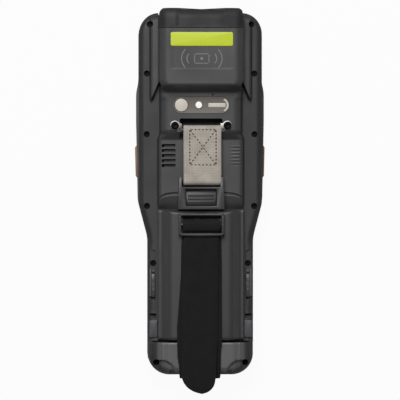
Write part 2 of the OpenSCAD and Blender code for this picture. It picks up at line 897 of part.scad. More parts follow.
module scan_opening(grow, through) {
    translate([0, nose_y + 1, scan_z]) rotate([90, 0, 0])
        linear_extrude(1 + scan_sink + scan_t + grow)
            polygon(rounded_box(scan_w + 2 * grow, scan_h + 2 * grow, scan_r));
    translate([0, nose_y + 1, scan_z]) rotate([90, 0, 0])
        linear_extrude(1 + scan_sink + scan_t + through)
            polygon(rounded_box(scan_w - 3, scan_h - 3, 1.5));
}

module scan_window() {
    color([0.25, 0.05, 0.08, 0.8])
        translate([0, nose_y - scan_sink, scan_z]) rotate([90, 0, 0])
            linear_extrude(scan_t) polygon(rounded_box(scan_w, scan_h, scan_r));
}

module scan_engine() {
    color([0.15, 0.16, 0.18]) difference() {
        block(engine_w, engine_len, scan_z - engine_foot, hump_h - wall - engine_roof, engine_y);
        for (x = [-engine_w / 4, engine_w / 4])
            translate([x, engine_y + engine_len / 2 + 1, scan_z]) rotate([90, 0, 0])
                cylinder(r = engine_lens_r, h = 4);
    }
}

module antenna_coil() {
    color([0.72, 0.45, 0.2]) difference() {
        block(coil_w, coil_len, hump_h - wall - 0.8, hump_h - wall - 0.3, coil_y);
        block(coil_w - 2 * coil_band, coil_len - 2 * coil_band, hump_h - wall - 2, hump_h, coil_y);
    }
}

module sticker() {
    color([0.82, 0.85, 0.2])
        plate(rounded_box(sticker_w, sticker_len, 1), hump_h, hump_h + 0.15, sticker_y);
}

// ---- camera group ----

module camera_window() {
    color([0.5, 0.48, 0.45, 0.7])
        lens_slot(0, plateau_h - lens_sink, plateau_h - 0.15);
}

module camera_module() {
    color([0.75, 0.72, 0.68]) {
        translate([lens_x, lens_y, plateau_h - lens_sink - 3.6]) cylinder(r = 3.4, h = 3.2);
        block(8.4, 8.4, plateau_h - lens_sink - 6.6, plateau_h - lens_sink - 4.4, lens_y, lens_x);
        translate([lens_x, lens_y, plateau_h - lens_sink - 5]) cylinder(r = 3, h = 1.6);
    }
}

module flash_lamp() {
    color([0.95, 0.93, 0.88])
        translate([flash_x, lens_y, plateau_h - lens_sink - 3]) cylinder(r = 1.8, h = 2.6);
}

module light_bar() {
    color([0.9, 0.88, 0.85])
        block(9, 2.2, plateau_h - lens_sink - 3, plateau_h - lens_sink - 0.4, lens_y, light_bar_x);
}

module loudspeaker() {
    speaker_y = deck_start - 3.8 - 5.6;
    color([0.12, 0.12, 0.12]) {
        block(10, 15, deck_h - wall - 3.3, deck_h - wall - 0.3, speaker_y, -15.6);
    }
}

// ---- strap bar ----

module strap_bar() {
    leg_x = pocket_x;
    color([0.72, 0.7, 0.67]) difference() {
        union() {
            translate([-leg_x, bar_y, bar_z]) rotate([0, 90, 0]) cylinder(r = bar_r, h = 2 * leg_x);
            both_sides() {
                translate([bar_ear_x, bar_ear_y, plateau_h - bar_ear_t])
                    cylinder(r = bar_ear_r, h = bar_ear_t);
                block(2 * bar_r, bar_ear_y - bar_y + 2 * bar_r, plateau_h - bar_ear_t - 1.2, plateau_h,
                    (bar_y + bar_ear_y) / 2, leg_x);
            }
        }
        both_sides()
            translate([bar_ear_x, bar_ear_y, plateau_h - 4]) cylinder(r = screw_r + 0.1, h = 6);
    }
}

module bar_screws() {
    color([0.6, 0.6, 0.6]) both_sides()
        translate([bar_ear_x, bar_ear_y, plateau_h]) difference() {
            union() {
                translate([0, 0, -6]) cylinder(r = screw_r, h = 6.1);
                cylinder(r = 2.2, h = 0.9);
            }
            translate([0, 0, 0.4]) cylinder(r = 0.9, h = 2, $fn = 6);
        }
}

module case_screws() {
    color([0.3, 0.3, 0.3]) {
        at_screws() case_screw();
        at_heel_screws() case_screw();
    }
}

module case_screw() {
    head_z = flange_h - screw_sink;
    translate([0, 0, front_wall + 1]) cylinder(r = screw_r - 0.05, h = head_z - front_wall - 0.5);
    difference() {
        translate([0, 0, head_z]) cylinder(r = screw_head_r, h = screw_head_t);
        translate([0, 0, head_z + screw_head_t - 0.7]) cylinder(r = driver_r, h = 2, $fn = 6);
    }
}

// ---- heel ----

module heel_cap() {
    foot = front_h + seam;
    plan_top = heel_start;
    color([0.36, 0.36, 0.36]) difference() {
        intersection() {
            loft([
                spine_ring(plan_top, grip_w, heel_h - 0.4, 8, foot),
                spine_ring(plan_top - 1.2, grip_w, heel_h, 8, foot),
                spine_ring(bottom_y + 7, grip_w, heel_h - 0.3, 8, foot),
                spine_ring(bottom_y + 3, grip_w, heel_h - 2, 8, foot),
                spine_ring(bottom_y + 0.8, grip_w, heel_h - 5.5, 7, foot),
                spine_ring(bottom_y, grip_w, heel_h - 8.5, 4, foot)
            ]);
            plate(case_outline(0), front_h - 1, cover_h + 1);
        }
        heel_hollow();
        at_heel_screws() {
            translate([0, 0, front_h - 1]) cylinder(r = screw_r + 0.2, h = flange_h);
            translate([0, 0, flange_h - screw_sink]) cylinder(r = screw_hole_r, h = cover_h);
        }
        strap_slot();
    }
}

module heel_hollow() {
    w = strap_w + 4;
    block(w, heel_len - wall - 3.4, front_h - 1, heel_h - 4.6, bottom_y + heel_len / 2 + 0.6);
    block(w - 5, 4, hook_z - 0.6, hook_z + 2.4, heel_start);
}

module strap_slot() {
    block(strap_w + 1, 6, slot_z, slot_z + strap_t + 0.9, bottom_y);
}

// ---- battery and cover ----

module battery_pack() {
    pack_y = battery_top - battery_len / 2;
    color([0.2, 0.25, 0.45])
        plate(rounded_box(battery_w, battery_len, 2), battery_z, battery_z + battery_t, pack_y);
}

module battery_contacts() {
    color([0.8, 0.65, 0.3]) {
        block(20, contacts_t - 0.6, bay_floor_z, bay_floor_z + 6, bay_top - contacts_t / 2 + 0.3);
        for (i = [-1:1])
            block(1.6, contacts_t - 0.1, bay_floor_z + 2, bay_floor_z + 4, bay_top - contacts_t / 2,
                5 * i);
    }
}

module battery_cover() {
    foot = flange_h + seam + seal_h;
    inner_w = spine_w - 2 * cover_t;
    inner_r = cover_r - cover_t;
    color([0.27, 0.27, 0.28]) {
        difference() {
            loft([
                spine_ring(cover_top, spine_w - 1, cover_h - 1.3, cover_r - 1, foot),
                spine_ring(cover_top - 0.6, spine_w - 0.3, cover_h - 0.4, cover_r - 0.3, foot),
                spine_ring(cover_top - 1.6, spine_w, cover_h, cover_r, foot),
                spine_ring(cover_bottom, spine_w, cover_h, cover_r, foot)
            ]);
            loft([
                spine_ring(cover_top - cover_t, inner_w, cover_h - cover_t, inner_r, foot - 1),
                spine_ring(cover_bottom + cover_t, inner_w, cover_h - cover_t, inner_r, foot - 1)
            ]);
        }
        both_sides()
            block(6, cover_t + heel_seam + 2, hook_z, hook_z + 1.6,
                cover_bottom + (cover_t - heel_seam - 2) / 2 + 0.4, 6.6);
    }
}

module cover_seal() {
    seal_w = spine_w - 2 * seam;
    seal_y0 = cover_bottom + seam;
    seal_y1 = cover_top - seam;
    color([0.1, 0.1, 0.1]) difference() {
        block(seal_w, seal_y1 - seal_y0, flange_h + seam, flange_h + seam + seal_h,
            (seal_y0 + seal_y1) / 2);
        block(seal_w - 2 * seal_t, seal_y1 - seal_y0 - 2 * seal_t, flange_h - 1, cover_h,
            (seal_y0 + seal_y1) / 2);
    }
}

module strap_frame() {
    inner_w = strap_w + 0.8;
    frame_w = inner_w + 2 * frame_rail;
    middle_y = (frame_top + frame_end) / 2;
    color([0.25, 0.25, 0.26]) {
        both_sides()
            block(frame_rail, frame_len, cover_h, frame_h, middle_y, (inner_w + frame_rail) / 2);
        block(frame_w, 1.2, cover_h, frame_h, frame_top - 0.6);
        block(frame_w, frame_bar_len, frame_h, frame_h + 1.4, frame_end + frame_bar_len / 2);
        translate([-frame_w / 2 + 0.2, inner_bar_y, inner_bar_z]) rotate([0, 90, 0])
            cylinder(r = inner_bar_r, h = frame_w - 0.4);
    }
}

module clasp_frame() {
    tab_room = clasp_w - 2 * clasp_rail;
    tab_end = cross_y - tab_loop_r - 0.9;
    pocket_y0 = pad_key_y - pad_key_len / 2 - pad_key_gap;
    pocket_y1 = pad_key_y + pad_key_len / 2 + pad_key_travel + pad_key_gap;
    color([0.25, 0.25, 0.26]) {
        difference() {
            plate([
                [-clasp_w / 2 + 0.7, clasp_top], [clasp_w / 2 - 0.7, clasp_top],
                [clasp_w / 2, clasp_end], [-clasp_w / 2, clasp_end]
            ], deck_h, clasp_z);
            block(tab_room - 0.7, clasp_top - tab_end + 1, deck_h - 1, cover_h,
                (clasp_top + tab_end + 1) / 2);
            block(pad_key_w + 2 * pad_key_gap, pocket_y1 - pocket_y0, clasp_z - pad_key_t - 0.5,
                cover_h, (pocket_y0 + pocket_y1) / 2);
            block(tongue_w + 2 * pad_key_gap, 8, clasp_z - pad_key_t - 0.5,
                clasp_z - pad_key_t + tongue_t, clasp_end);
        }
        translate([-clasp_w / 2 + 1.2, cross_y, cross_z]) rotate([0, 90, 0])
            cylinder(r = bar_r, h = clasp_w - 2.4);
    }
}

module release_pad() {
    pad_z = clasp_z - pad_key_t - 0.2;
    color([0.2, 0.2, 0.2]) {
        block(pad_key_w, pad_key_len, pad_z, clasp_z - 0.5, pad_key_y);
        for (i = [-1:1])
            block(pad_key_w - 2.4, 0.7, clasp_z - 0.5, clasp_z - 0.2, pad_key_y + 1.9 * i);
        block(tongue_w, pad_key_y - pad_key_len / 2 - clasp_end + 0.5, pad_z, pad_z + tongue_t,
            (pad_key_y - pad_key_len / 2 + clasp_end + 0.5) / 2);
    }
}

// ---- webbing and straps ----

module webbing_tab() {
    hole_r = bar_r + bar_run;
    bar_top = bar_z + tab_loop_r;
    cross_top = cross_z + tab_loop_r;
    color([0.65, 0.62, 0.58]) across(tab_w) difference() {
        union() {
            translate([bar_y, bar_z]) circle(r = tab_loop_r);
            translate([cross_y, cross_z]) circle(r = tab_loop_r);
            polygon([
                [bar_y, bar_top], [cross_y, cross_top], [cross_y, cross_z - tab_loop_r],
                [cross_y + 6, cross_top - 2 * tab_t - 0.1], [bar_y - 6, bar_top - 2 * tab_t],
                [bar_y, bar_z - tab_loop_r]
            ]);
        }
        translate([bar_y, bar_z]) circle(r = hole_r);
        translate([cross_y, cross_z]) circle(r = hole_r);
    }
}

module strap_base() {
    turn_r = inner_bar_r + bar_run + strap_t / 2;
    color([0.12, 0.12, 0.12]) across(strap_w) polygon(ribbon(concat(
        [[cover_bottom, base_z + strap_t / 2]],
        [for (i = [0:11])
            [inner_bar_y + turn_r * sin(18 * i), inner_bar_z - turn_r * cos(18 * i)]],
        [[tail_start + 0.5, tail_z + strap_t / 2], [tail_start, tail_z + strap_t / 2]]
    ), strap_t));
}

module strap_tail() {
    color([0.13, 0.13, 0.13])
        block(tail_w, tail_start - cover_bottom, tail_z, tail_z + strap_t,
            (tail_start + cover_bottom) / 2);
}

// The cylinder that the straps on the cover sweep as they fold at the cover's hinge
module fold_room() {
    translate([-strap_w, cover_bottom, cover_h]) rotate([0, 90, 0])
        cylinder(r = fold_r, h = 2 * strap_w);
}

module strap_foot() {
    slot_mid = slot_z + (strap_t + 0.9) / 2;
    color([0.12, 0.12, 0.12]) difference() {
        across(strap_w) polygon(ribbon([
            [cover_bottom - 1, base_z + strap_t / 2],
            [bottom_y + 6.8, heel_h + strap_t / 2 + 0.1],
            [bottom_y + 2.3, heel_h - 1.05],
            [bottom_y - 0.3, heel_h - 5],
            [bottom_y - 0.8, slot_mid + 0.95],
            [bottom_y - 0.1, slot_mid + 0.05],
            [bottom_y + 1.9, slot_mid]
        ], strap_t));
        fold_room();
    }
}

module tail_tip() {
    tip_r = tail_w / 2;
    color([0.13, 0.13, 0.13]) difference() {
        union() {
            block(tail_w, cover_bottom - tail_y - tip_r, tail_z, tail_z + strap_t,
                (cover_bottom + tail_y + tip_r) / 2);
            translate([0, tail_y + tip_r, tail_z]) cylinder(r = tip_r, h = strap_t);
        }
        fold_room();
    }
}

module catch_block(grow, rise) {
    both_sides()
        block(catch_w + 2 * grow, catch_len + 2 * grow, flange_h - catch_sink - catch_t - grow,
            flange_h - catch_sink + rise, catch_y, catch_x);
}

module side_catches() {
    color([0.45, 0.42, 0.38]) catch_block(0, 0);
}

// ---- the whole part ----

front_case();
rear_case();
head_cap();
scan_window();
scan_engine();
display_glass();
display_panel();
main_board();
shield_cans();
key_membrane();
case_gasket();
earpiece();
battery_pack();
battery_contacts();
camera_window();
camera_module();
flash_lamp();
light_bar();
loudspeaker();
antenna_coil();
strap_bar();
bar_screws();
case_screws();
sticker();
heel_cap();
dock_contacts();
data_socket();
socket_flap();
flap_pin();
side_catches();
trigger_switches();
battery_cover();
cover_seal();
strap_frame();
clasp_frame();
release_pad();
webbing_tab();
strap_base();
strap_tail();
strap_foot();
tail_tip();
trigger_left();
trigger_right();
scan_key();
for (i = [1:4])
    function_key(i);
for (i = [1:number_rows * number_columns])
    number_key(i);
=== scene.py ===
# %% [markdown]
# # A handheld data terminal, seen on its back
#
# The frame gives every rigid part at its true size and place. This lesson dresses it: finishes for
# the plastics, rubbers, metals and webbing, and finer surfaces where the plain solids are too hard.
# It could also be painted onto the solids alone. New surfaces were chosen for the parts that catch
# the light, because soft edges and blended slopes are what make moulded plastic look moulded.

# %% Load the frame
import math
import bmesh
import bpy
import numpy as np
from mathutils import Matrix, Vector


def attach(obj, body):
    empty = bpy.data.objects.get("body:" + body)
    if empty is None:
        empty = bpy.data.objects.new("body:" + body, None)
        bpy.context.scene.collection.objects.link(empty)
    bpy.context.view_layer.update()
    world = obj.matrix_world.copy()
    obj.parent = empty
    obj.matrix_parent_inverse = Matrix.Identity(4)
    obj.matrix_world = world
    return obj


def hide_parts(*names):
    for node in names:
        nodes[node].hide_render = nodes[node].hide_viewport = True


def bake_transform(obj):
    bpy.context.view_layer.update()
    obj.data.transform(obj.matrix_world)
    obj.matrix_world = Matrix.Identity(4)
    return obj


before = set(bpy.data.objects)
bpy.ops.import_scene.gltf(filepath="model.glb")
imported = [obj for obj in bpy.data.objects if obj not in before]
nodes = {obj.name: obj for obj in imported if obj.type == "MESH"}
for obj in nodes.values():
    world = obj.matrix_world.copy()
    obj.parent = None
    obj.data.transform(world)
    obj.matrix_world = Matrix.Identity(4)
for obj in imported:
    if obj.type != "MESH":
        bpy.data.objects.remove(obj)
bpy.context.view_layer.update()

MM = 0.001

# %% [markdown]
# ## Camera
#
# The terminal lies on its screen and is looked at from straight above, a touch from the left. A long
# lens far away keeps both ends of the body the same scale. An orthographic camera could do that too,
# but a real lens still shows a little of the flanks and the depth of the pockets.

# %% Camera from above
def put(name, data):
    """An object with this data, linked to the scene."""
    made = bpy.data.objects.new(name, data)
    bpy.context.scene.collection.objects.link(made)
    return made


VIEW_WIDTH = 224.5 * MM
LEAN = math.radians(2.2)
# the middle of the body, at half its thickness
aim = Vector((-0.22, -4.65, 15)) * MM
lens = bpy.data.cameras.new("long_lens")
lens.lens = 400
lens.sensor_width = 36
reach = VIEW_WIDTH / 2 / (lens.sensor_width / 2 / lens.lens)
camera = put("camera", lens)
camera.location = aim + Vector((-math.sin(LEAN), 0, math.cos(LEAN))) * reach
camera.rotation_euler = (0, -LEAN, 0)
bpy.context.scene.camera = camera
print("camera stands", round(reach, 2), "m away")

# %% [markdown]
# ## Nodes and colours
#
# A colour picked from a screen is sRGB, and Blender's shaders count in linear light, so one function
# turns the hex values. One more adds a shader node. Its settings are named after the node's sockets,
# and a setting that is itself a node or an output becomes a link. Three short ones cover what the
# finishes need most: a sum on values, a stretch of a value and a mix of two colours.

# %% Colour and node helpers
def linear(code):
    """sRGB hex to linear RGBA: c / 12.92 below 0.04045, else ((c + 0.055) / 1.055) ** 2.4."""
    s = np.array([int(code[i:i + 2], 16) for i in (1, 3, 5)]) / 255
    return (*np.where(s <= 0.04045, s / 12.92, ((s + 0.055) / 1.055) ** 2.4), 1.0)


def fill(tree, node, **settings):
    """Set a node: in0, in1, ... name sockets by place, other words by name with _ for a space."""
    for word, value in settings.items():
        place = word[2:] if word.startswith("in") and word[2:].isdigit() else None
        socket = node.inputs[int(place)] if place else node.inputs.get(word.replace("_", " "))
        if isinstance(value, bpy.types.Node):
            value = value.outputs[0]
        if socket is None:
            setattr(node, word, value)
        elif isinstance(value, bpy.types.NodeSocket):
            tree.links.new(value, socket)
        else:
            socket.default_value = value
    return node


def add(tree, kind, **settings):
    """Add a shader node of a kind and set it."""
    return fill(tree, tree.nodes.new("ShaderNode" + kind), **settings)


def calc(tree, operation, *values):
    """A Math node that works on one to three values."""
    return add(tree, "Math", operation=operation, **{f"in{k}": v for k, v in enumerate(values)})


def remap(tree, value, low, high, to_low=0.0, to_high=1.0):
    """Stretch a value from low..high to to_low..to_high, and clip it there."""
    return add(tree, "MapRange", Value=value, in1=low, in2=high, in3=to_low, in4=to_high)


def mix(tree, share, first, second):
    """Two colours mixed by a share from 0 to 1. Each is a hex code, a node or an output."""
    first, second = [linear(c) if isinstance(c, str) else c for c in (first, second)]
    return add(tree, "MixRGB", Fac=share, Color1=first, Color2=second)


def new_material(name):
    """An empty material and its tree, with the Principled shader already joined to the output."""
    material = bpy.data.materials.new(name)
    material.use_nodes = True
    tree = material.node_tree
    return material, tree, tree.nodes["Principled BSDF"]


print("#808080 in linear light is", round(float(linear("#808080")[0]), 3))

# %% [markdown]
# ## Floor and light
#
# The ground is white, and one large soft light hangs above the head end and a little to the left:
# faces that look up are the brightest, and slopes that face the foot or the right go dark. Four weak
# lamps near the ground keep the flanks from going black when the terminal is seen from the side.
#
# The floor is grey paper. To the camera it glows white, with a small share of its real shading kept
# so that a faint shadow stays. To all other rays it is plain grey, because a white sheet would throw
# too much light back at the flanks. The room does the same: bright behind the floor, dim elsewhere.

# %% Paper floor
GLOW_SHARE = 0.93
FLOOR_HALF = 3.0
FLOOR_Z = -0.2 * MM
material, tree, paper = new_material("paper_floor")
fill(tree, paper, Base_Color=linear("#9c9c9c"), Roughness=0.9)
ray = add(tree, "LightPath").outputs
share = calc(tree, "MAXIMUM", ray["Is Camera Ray"], ray["Is Transmission Ray"])
share = calc(tree, "MULTIPLY", share, GLOW_SHARE)
glow = add(tree, "Emission", Color=(1, 1, 1, 1), Strength=1.02)
both = add(tree, "MixShader", Fac=share, in1=paper, in2=glow)
fill(tree, tree.nodes["Material Output"], Surface=both)

corners = [(-1, -1), (1, -1), (1, 1), (-1, 1)]
sheet = bpy.data.meshes.new("floor")
sheet.from_pydata([(FLOOR_HALF * x, FLOOR_HALF * y, FLOOR_Z) for x, y in corners], [], [(0, 1, 2, 3)])
floor = put("floor", sheet)
floor.data.materials.append(material)
print("floor of", 2 * FLOOR_HALF, "m")

# %% Soft boxes and room light
def soft_box(name, place, size, power):
    """A square area lamp at a place in metres, turned to the middle of the terminal."""
    data = bpy.data.lights.new(name, "AREA")
    data.size, data.energy = size, power
    lamp = put(name, data)
    lamp.location = place
    lamp.rotation_euler = (Vector(place) - aim).to_track_quat("Z", "Y").to_euler()


soft_box("head_light", (-0.2, 0.75, 1.34), 0.8, 25)
LOW_LAMPS = [("left_light", (-1.2, 0.1, 0.14), 0.7),
             ("right_light", (1.2, -0.1, 0.14), 0.7),
             ("far_light", (0.1, 1.3, 0.14), 1.2),
             ("near_light", (-0.1, -1.3, 0.14), 1.2)]
for name, place, power in LOW_LAMPS:
    soft_box(name, place, 0.4, power)

DIM_ROOM, BACKDROP = 0.12, 0.95
world = bpy.data.worlds.new("room")
world.use_nodes = True
sky = world.node_tree
seen = add(sky, "LightPath").outputs["Is Camera Ray"]
fill(sky, sky.nodes["Background"], Color=(1, 1, 1, 1),
     Strength=remap(sky, seen, 0.0, 1.0, DIM_ROOM, BACKDROP))
bpy.context.scene.world = world
bpy.context.scene.view_settings.view_transform = "Standard"
print(1 + len(LOW_LAMPS), "soft boxes")

# %% [markdown]
# ## Moulded plastics and rubbers
#
# The shells are glass-filled polycarbonate with a spark-eroded texture: the mould is etched by an
# electric spark, which leaves a fine matt pebble that spreads a highlight wide. The pebble is about
# 0.1 mm on the real part, too fine to show here, so it is drawn at 0.45 mm. Convex edges turn a little
# lighter, partly wear and partly a painted highlight; low faces are darker, as painted shade.
# One function makes them all. An image of each surface could do it too, but a noise needs no files.

# %% Moulded finish
# most of a noise lies between the first two; Pointiness is 0.5 on a flat and more on an edge
NOISE_LOW, NOISE_HIGH = 0.35, 0.65
EDGE_LOW, EDGE_HIGH = 0.515, 0.60


def moulded(name, light, dark, patch, grain, depth, rough, wear_and_highlight=None, low=None, shade_climb=(19.4, 22)):
    """Two hex colours mixed by a noise of patch mm, and a pebble of grain mm with depth in mm.

    Roughness is rough plus or minus 0.06 with the patches. wear_and_highlight is the hex colour of
    convex edges, partly wear and partly a painted highlight, and low that of a painted shade on the
    faces below the heights shade_climb in mm.
    """
    material, tree, shader = new_material(name)
    place = add(tree, "TexCoord").outputs["Object"]
    drift = add(tree, "TexNoise", Vector=place, Scale=1000 / patch, Detail=3.0)
    pebble = add(tree, "TexNoise", Vector=place, Scale=1000 / grain, Detail=2.0, Roughness=0.6)
    colour = mix(tree, drift, dark, light)
    # painted shade: faces lower than the given heights turn towards the low colour
    if low:
        height = add(tree, "SeparateXYZ", in0=place).outputs[2]
        colour = mix(tree, remap(tree, height, shade_climb[0] * MM, shade_climb[1] * MM), low, colour)
    # convex edges turn lighter: partly wear, partly a painted highlight
    if wear_and_highlight:
        edge = add(tree, "NewGeometry").outputs["Pointiness"]
        edge = remap(tree, edge, EDGE_LOW, EDGE_HIGH, 0.0, 0.7)
        colour = mix(tree, calc(tree, "MULTIPLY", edge, pebble), colour, wear_and_highlight)
    fill(tree, shader, Base_Color=colour, IOR=1.5,
         Roughness=remap(tree, drift, NOISE_LOW, NOISE_HIGH, rough + 0.06, rough - 0.06),
         Normal=add(tree, "Bump", Strength=1.0, Distance=depth * MM, Height=pebble))
    return material


# name, light, dark, patch, grain, depth, rough, wear_and_highlight, low (painted shade), shade_climb
finishes = {
    # charcoal polycarbonate: matt, with a soft wide sheen
    "front_shell": moulded("polycarbonate_charcoal_front", "#3b3b3d", "#343436", 18, 0.45, 0.03,
                           0.52, "#5c5c5e"),
    # rear shell: faces below 19.4 to 22 mm are darkened to #232325 as painted shade
    "rear_shell": moulded("polycarbonate_charcoal_rear", "#3a3a3b", "#333335", 18, 0.45, 0.03,
                          0.56, "#5a5a5c", "#232325"),
    "head_cap": moulded("polycarbonate_charcoal_head", "#181819", "#151515", 18, 0.45, 0.03, 0.68,
                        "#454546"),
    "pad_dark": moulded("nylon_black_pad", "#1f1f20", "#1a1a1b", 9, 0.5, 0.02, 0.5, "#363637"),
    "prong_grey": moulded("polycarbonate_grey_prong", "#434346", "#3b3b3e", 9, 0.4, 0.02, 0.46,
                          "#5c5c5f"),
    "cover_shell": moulded("polycarbonate_charcoal_cover", "#343435", "#2e2e2f", 22, 0.45, 0.03,
                           0.46, "#565657"),
    # heel: flanks below 21.4 to 23.4 mm are darkened to #282829 as painted shade
    "heel_shell": moulded("polycarbonate_grey_heel", "#575758", "#4f4f50", 14, 0.4, 0.025,
                          0.44, "#616162", "#282829", (21.4, 23.4)),
    # nylon for the buckle parts and catches: smoother, a little waxy
    "buckle_plastic": moulded("nylon_black_buckle", "#29292a", "#242425", 10, 0.5, 0.02, 0.45,
                              "#5a5a5b"),
    "catch_plastic": moulded("nylon_grey_catch", "#2c2c2e", "#252527", 8, 0.4, 0.02, 0.45,
                             "#58564f"),
    # ABS: an even satin, with little grain
    "black_plastic": moulded("abs_black_inner", "#222223", "#1c1c1d", 10, 0.5, 0.015, 0.5),
    "trigger_plastic": moulded("abs_burnt_orange_trigger", "#8f6444", "#7b5538", 9, 0.4, 0.02,
                               0.45, "#a8805e"),
    # silicone rubber: dull, fine, and darker in its dips
    "scan_key_rubber": moulded("silicone_orange_key", "#d97a24", "#c86c1c", 7, 0.35, 0.015, 0.6,
                               "#e59a55"),
    "function_key_rubber": moulded("silicone_slate_key", "#5b5f66", "#52565d", 7, 0.35, 0.015,
                                   0.6, "#757a82"),
    "number_key_rubber": moulded("silicone_pale_key", "#c3c5c8", "#b5b7ba", 7, 0.35, 0.015, 0.6,
                                 "#d2d4d6"),
    "silicone": moulded("silicone_black_flap", "#262627", "#1e1e1f", 8, 0.4, 0.02, 0.62),
    "seal_rubber": moulded("silicone_black_seal", "#1b1b1c", "#151516", 6, 0.5, 0.02, 0.65),
}
print(len(finishes), "moulded finishes")

# %% [markdown]
# ## Metals
#
# The strap bar is drawn steel wire, the screws are black-oxide steel, the shields are tinned sheet
# and the contacts are gold on copper. A drawn or rolled metal has fine lines along its length. They
# come from one noise stretched along an axis, which is cheaper than modelling scratches.

# %% Drawn and rolled metal
def rolled(name, light, dark, grain, along, rough):
    """Metal whose colour and roughness follow a noise of grain mm, stretched 25 times on an axis."""
    material, tree, shader = new_material(name)
    place = add(tree, "TexCoord").outputs["Object"]
    scale = [1000 / grain] * 3
    scale[along] /= 25
    lines = add(tree, "Mapping", Vector=place, Scale=tuple(scale))
    lines = add(tree, "TexNoise", Vector=lines, Scale=1.0, Detail=2.0)
    fill(tree, shader, Base_Color=mix(tree, lines, dark, light), Metallic=1.0,
         Roughness=remap(tree, lines, 0.3, 0.7, rough - 0.07, rough + 0.07),
         Normal=add(tree, "Bump", Strength=1.0, Distance=0.01 * MM, Height=lines))
    return material


# name, light, dark, grain, axis, rough
finishes.update({
    # drawn wire and black oxide: a dull, broken shine
    "bar_steel": rolled("steel_drawn_bar", "#8f8d87", "#6d6b66", 0.3, 0, 0.42),
    "screw_steel": rolled("steel_black_oxide", "#1d1d1e", "#111112", 0.4, 2, 0.45),
    # tin, gold and copper: clearer reflections in the colour of the metal
    "plated_steel": rolled("steel_tinned_sheet", "#c6c7c8", "#a9abad", 0.5, 1, 0.32),
    "gold_contact": rolled("gold_plated_contact", "#e3bf6c", "#c79f4b", 0.3, 1, 0.22),
    "copper_coil": rolled("copper_foil_coil", "#c98a58", "#a8693b", 0.4, 0, 0.3),
    # anodised aluminium: grey, and softer than bare metal
    "camera_barrel": rolled("aluminium_anodised_barrel", "#6f6f72", "#505053", 0.3, 2, 0.35),
})
print(len(finishes), "finishes with the metals")

# %% [markdown]
# ## Glass, films, boards and the battery wrap
#
# The display glass is black from its printed back and the dark panel below it, so it is drawn as one
# glossy black sheet with a slightly lighter active area. Real layers of clear glass over a black
# print look the same from here and cost many more samples. Fingers leave a faint dull film on it.

# %% Glossy sheets
def glossy(name, light, dark, smear, rough, coat=0.0):
    """A smooth sheet: two close hex colours and a roughness that grows in smears of smear mm."""
    material, tree, shader = new_material(name)
    place = add(tree, "TexCoord").outputs["Object"]
    film = add(tree, "TexNoise", Vector=place, Scale=1000 / smear, Detail=4.0, Roughness=0.6)
    fill(tree, shader, Base_Color=mix(tree, film, dark, light), Coat_Weight=coat,
         Roughness=remap(tree, film, 0.45, 0.75, rough, rough + 0.1))
    return material


# name, light, dark, smear, rough, coat
finishes.update({
    # glass and clear acrylic: mirror-like, dark behind
    "cover_glass": glossy("glass_black_printed", "#0c0d0f", "#060607", 30, 0.06),
    "panel": glossy("display_panel_dark", "#15171b", "#101114", 20, 0.2),
    "scan_glass": glossy("acrylic_dark_red", "#3a0a10", "#2a070b", 12, 0.05, 0.5),
    # frosted and opal lamps: pale, and soft in their shine
    "lens_window": glossy("acrylic_smoke_window", "#645e58", "#5a544f", 6, 0.6),
    "lens_pale": glossy("acrylic_frosted_lens", "#c6bfb5", "#bbb3a8", 4, 0.3),
    "lamp_white": glossy("polycarbonate_opal_lamp", "#f3efe9", "#e6e1da", 3, 0.25),
    "flash_white": glossy("polycarbonate_opal_flash", "#fbf6ef", "#f2ede6", 3, 0.25),
    # films, ink and thread: even colour, half matt
    "yellow_film": glossy("vinyl_yellow_label", "#bac912", "#b0bf0e", 6, 0.45),
    "battery_wrap": glossy("pvc_blue_wrap", "#2f4a7a", "#28406b", 15, 0.32),
    "sign_print": glossy("ink_grey_sign", "#77777a", "#6c6c6f", 5, 0.5),
    "thread": glossy("polyester_thread_dark", "#322c26", "#27221d", 3, 0.7),
    "engine": glossy("engine_black_housing", "#232427", "#1b1c1e", 6, 0.35),
})

# %% Active area of the display
ACTIVE_HALF_WIDTH = 26.6 * MM
ACTIVE_HALF_LENGTH = 44 * MM
ACTIVE_MIDDLE = 48.5 * MM
glass = finishes["cover_glass"].node_tree
place = add(glass, "SeparateXYZ", Vector=add(glass, "TexCoord").outputs["Object"])
in_x = calc(glass, "COMPARE", place, 0.0, ACTIVE_HALF_WIDTH)
in_y = calc(glass, "COMPARE", place.outputs[1], ACTIVE_MIDDLE, ACTIVE_HALF_LENGTH)
shader = glass.nodes["Principled BSDF"]
black = shader.inputs["Base Color"].links[0].from_socket
lit = mix(glass, calc(glass, "MULTIPLY", in_x, in_y), black, "#17191d")
fill(glass, shader, Base_Color=lit)
print("display area", round(2 * ACTIVE_HALF_WIDTH / MM, 1), "x", round(2 * ACTIVE_HALF_LENGTH / MM, 1))

# %% Green board: epoxy laminate, satin, with lighter copper tracks under its varnish
TRACK_PITCH = 2.2
material, tree, shader = new_material("epoxy_green_board")
place = add(tree, "TexCoord").outputs["Object"]
tracks = add(tree, "TexVoronoi", Vector=place, Scale=1000 / TRACK_PITCH, feature="DISTANCE_TO_EDGE")
edge = remap(tree, tracks, 0.04, 0.07)
fill(tree, shader, Base_Color=mix(tree, edge, "#3c7a4f", "#1f5534"), Roughness=0.35)
finishes["board"] = material
print(len(finishes), "finishes with glass, films and board")

# %% [markdown]
# ## Webbing
#
# Straps and the tab are plain-woven polyamide webbing. Warp threads run along it and weft threads
# across, and each goes over one and under one, so the surface is a check of small ridges that turn
# by a right angle from cell to cell. The real threads stand 0.7 mm apart; they are drawn 0.9 mm
# apart to show. The pattern reads the strap's own UV map, in metres, so that it follows each bend.

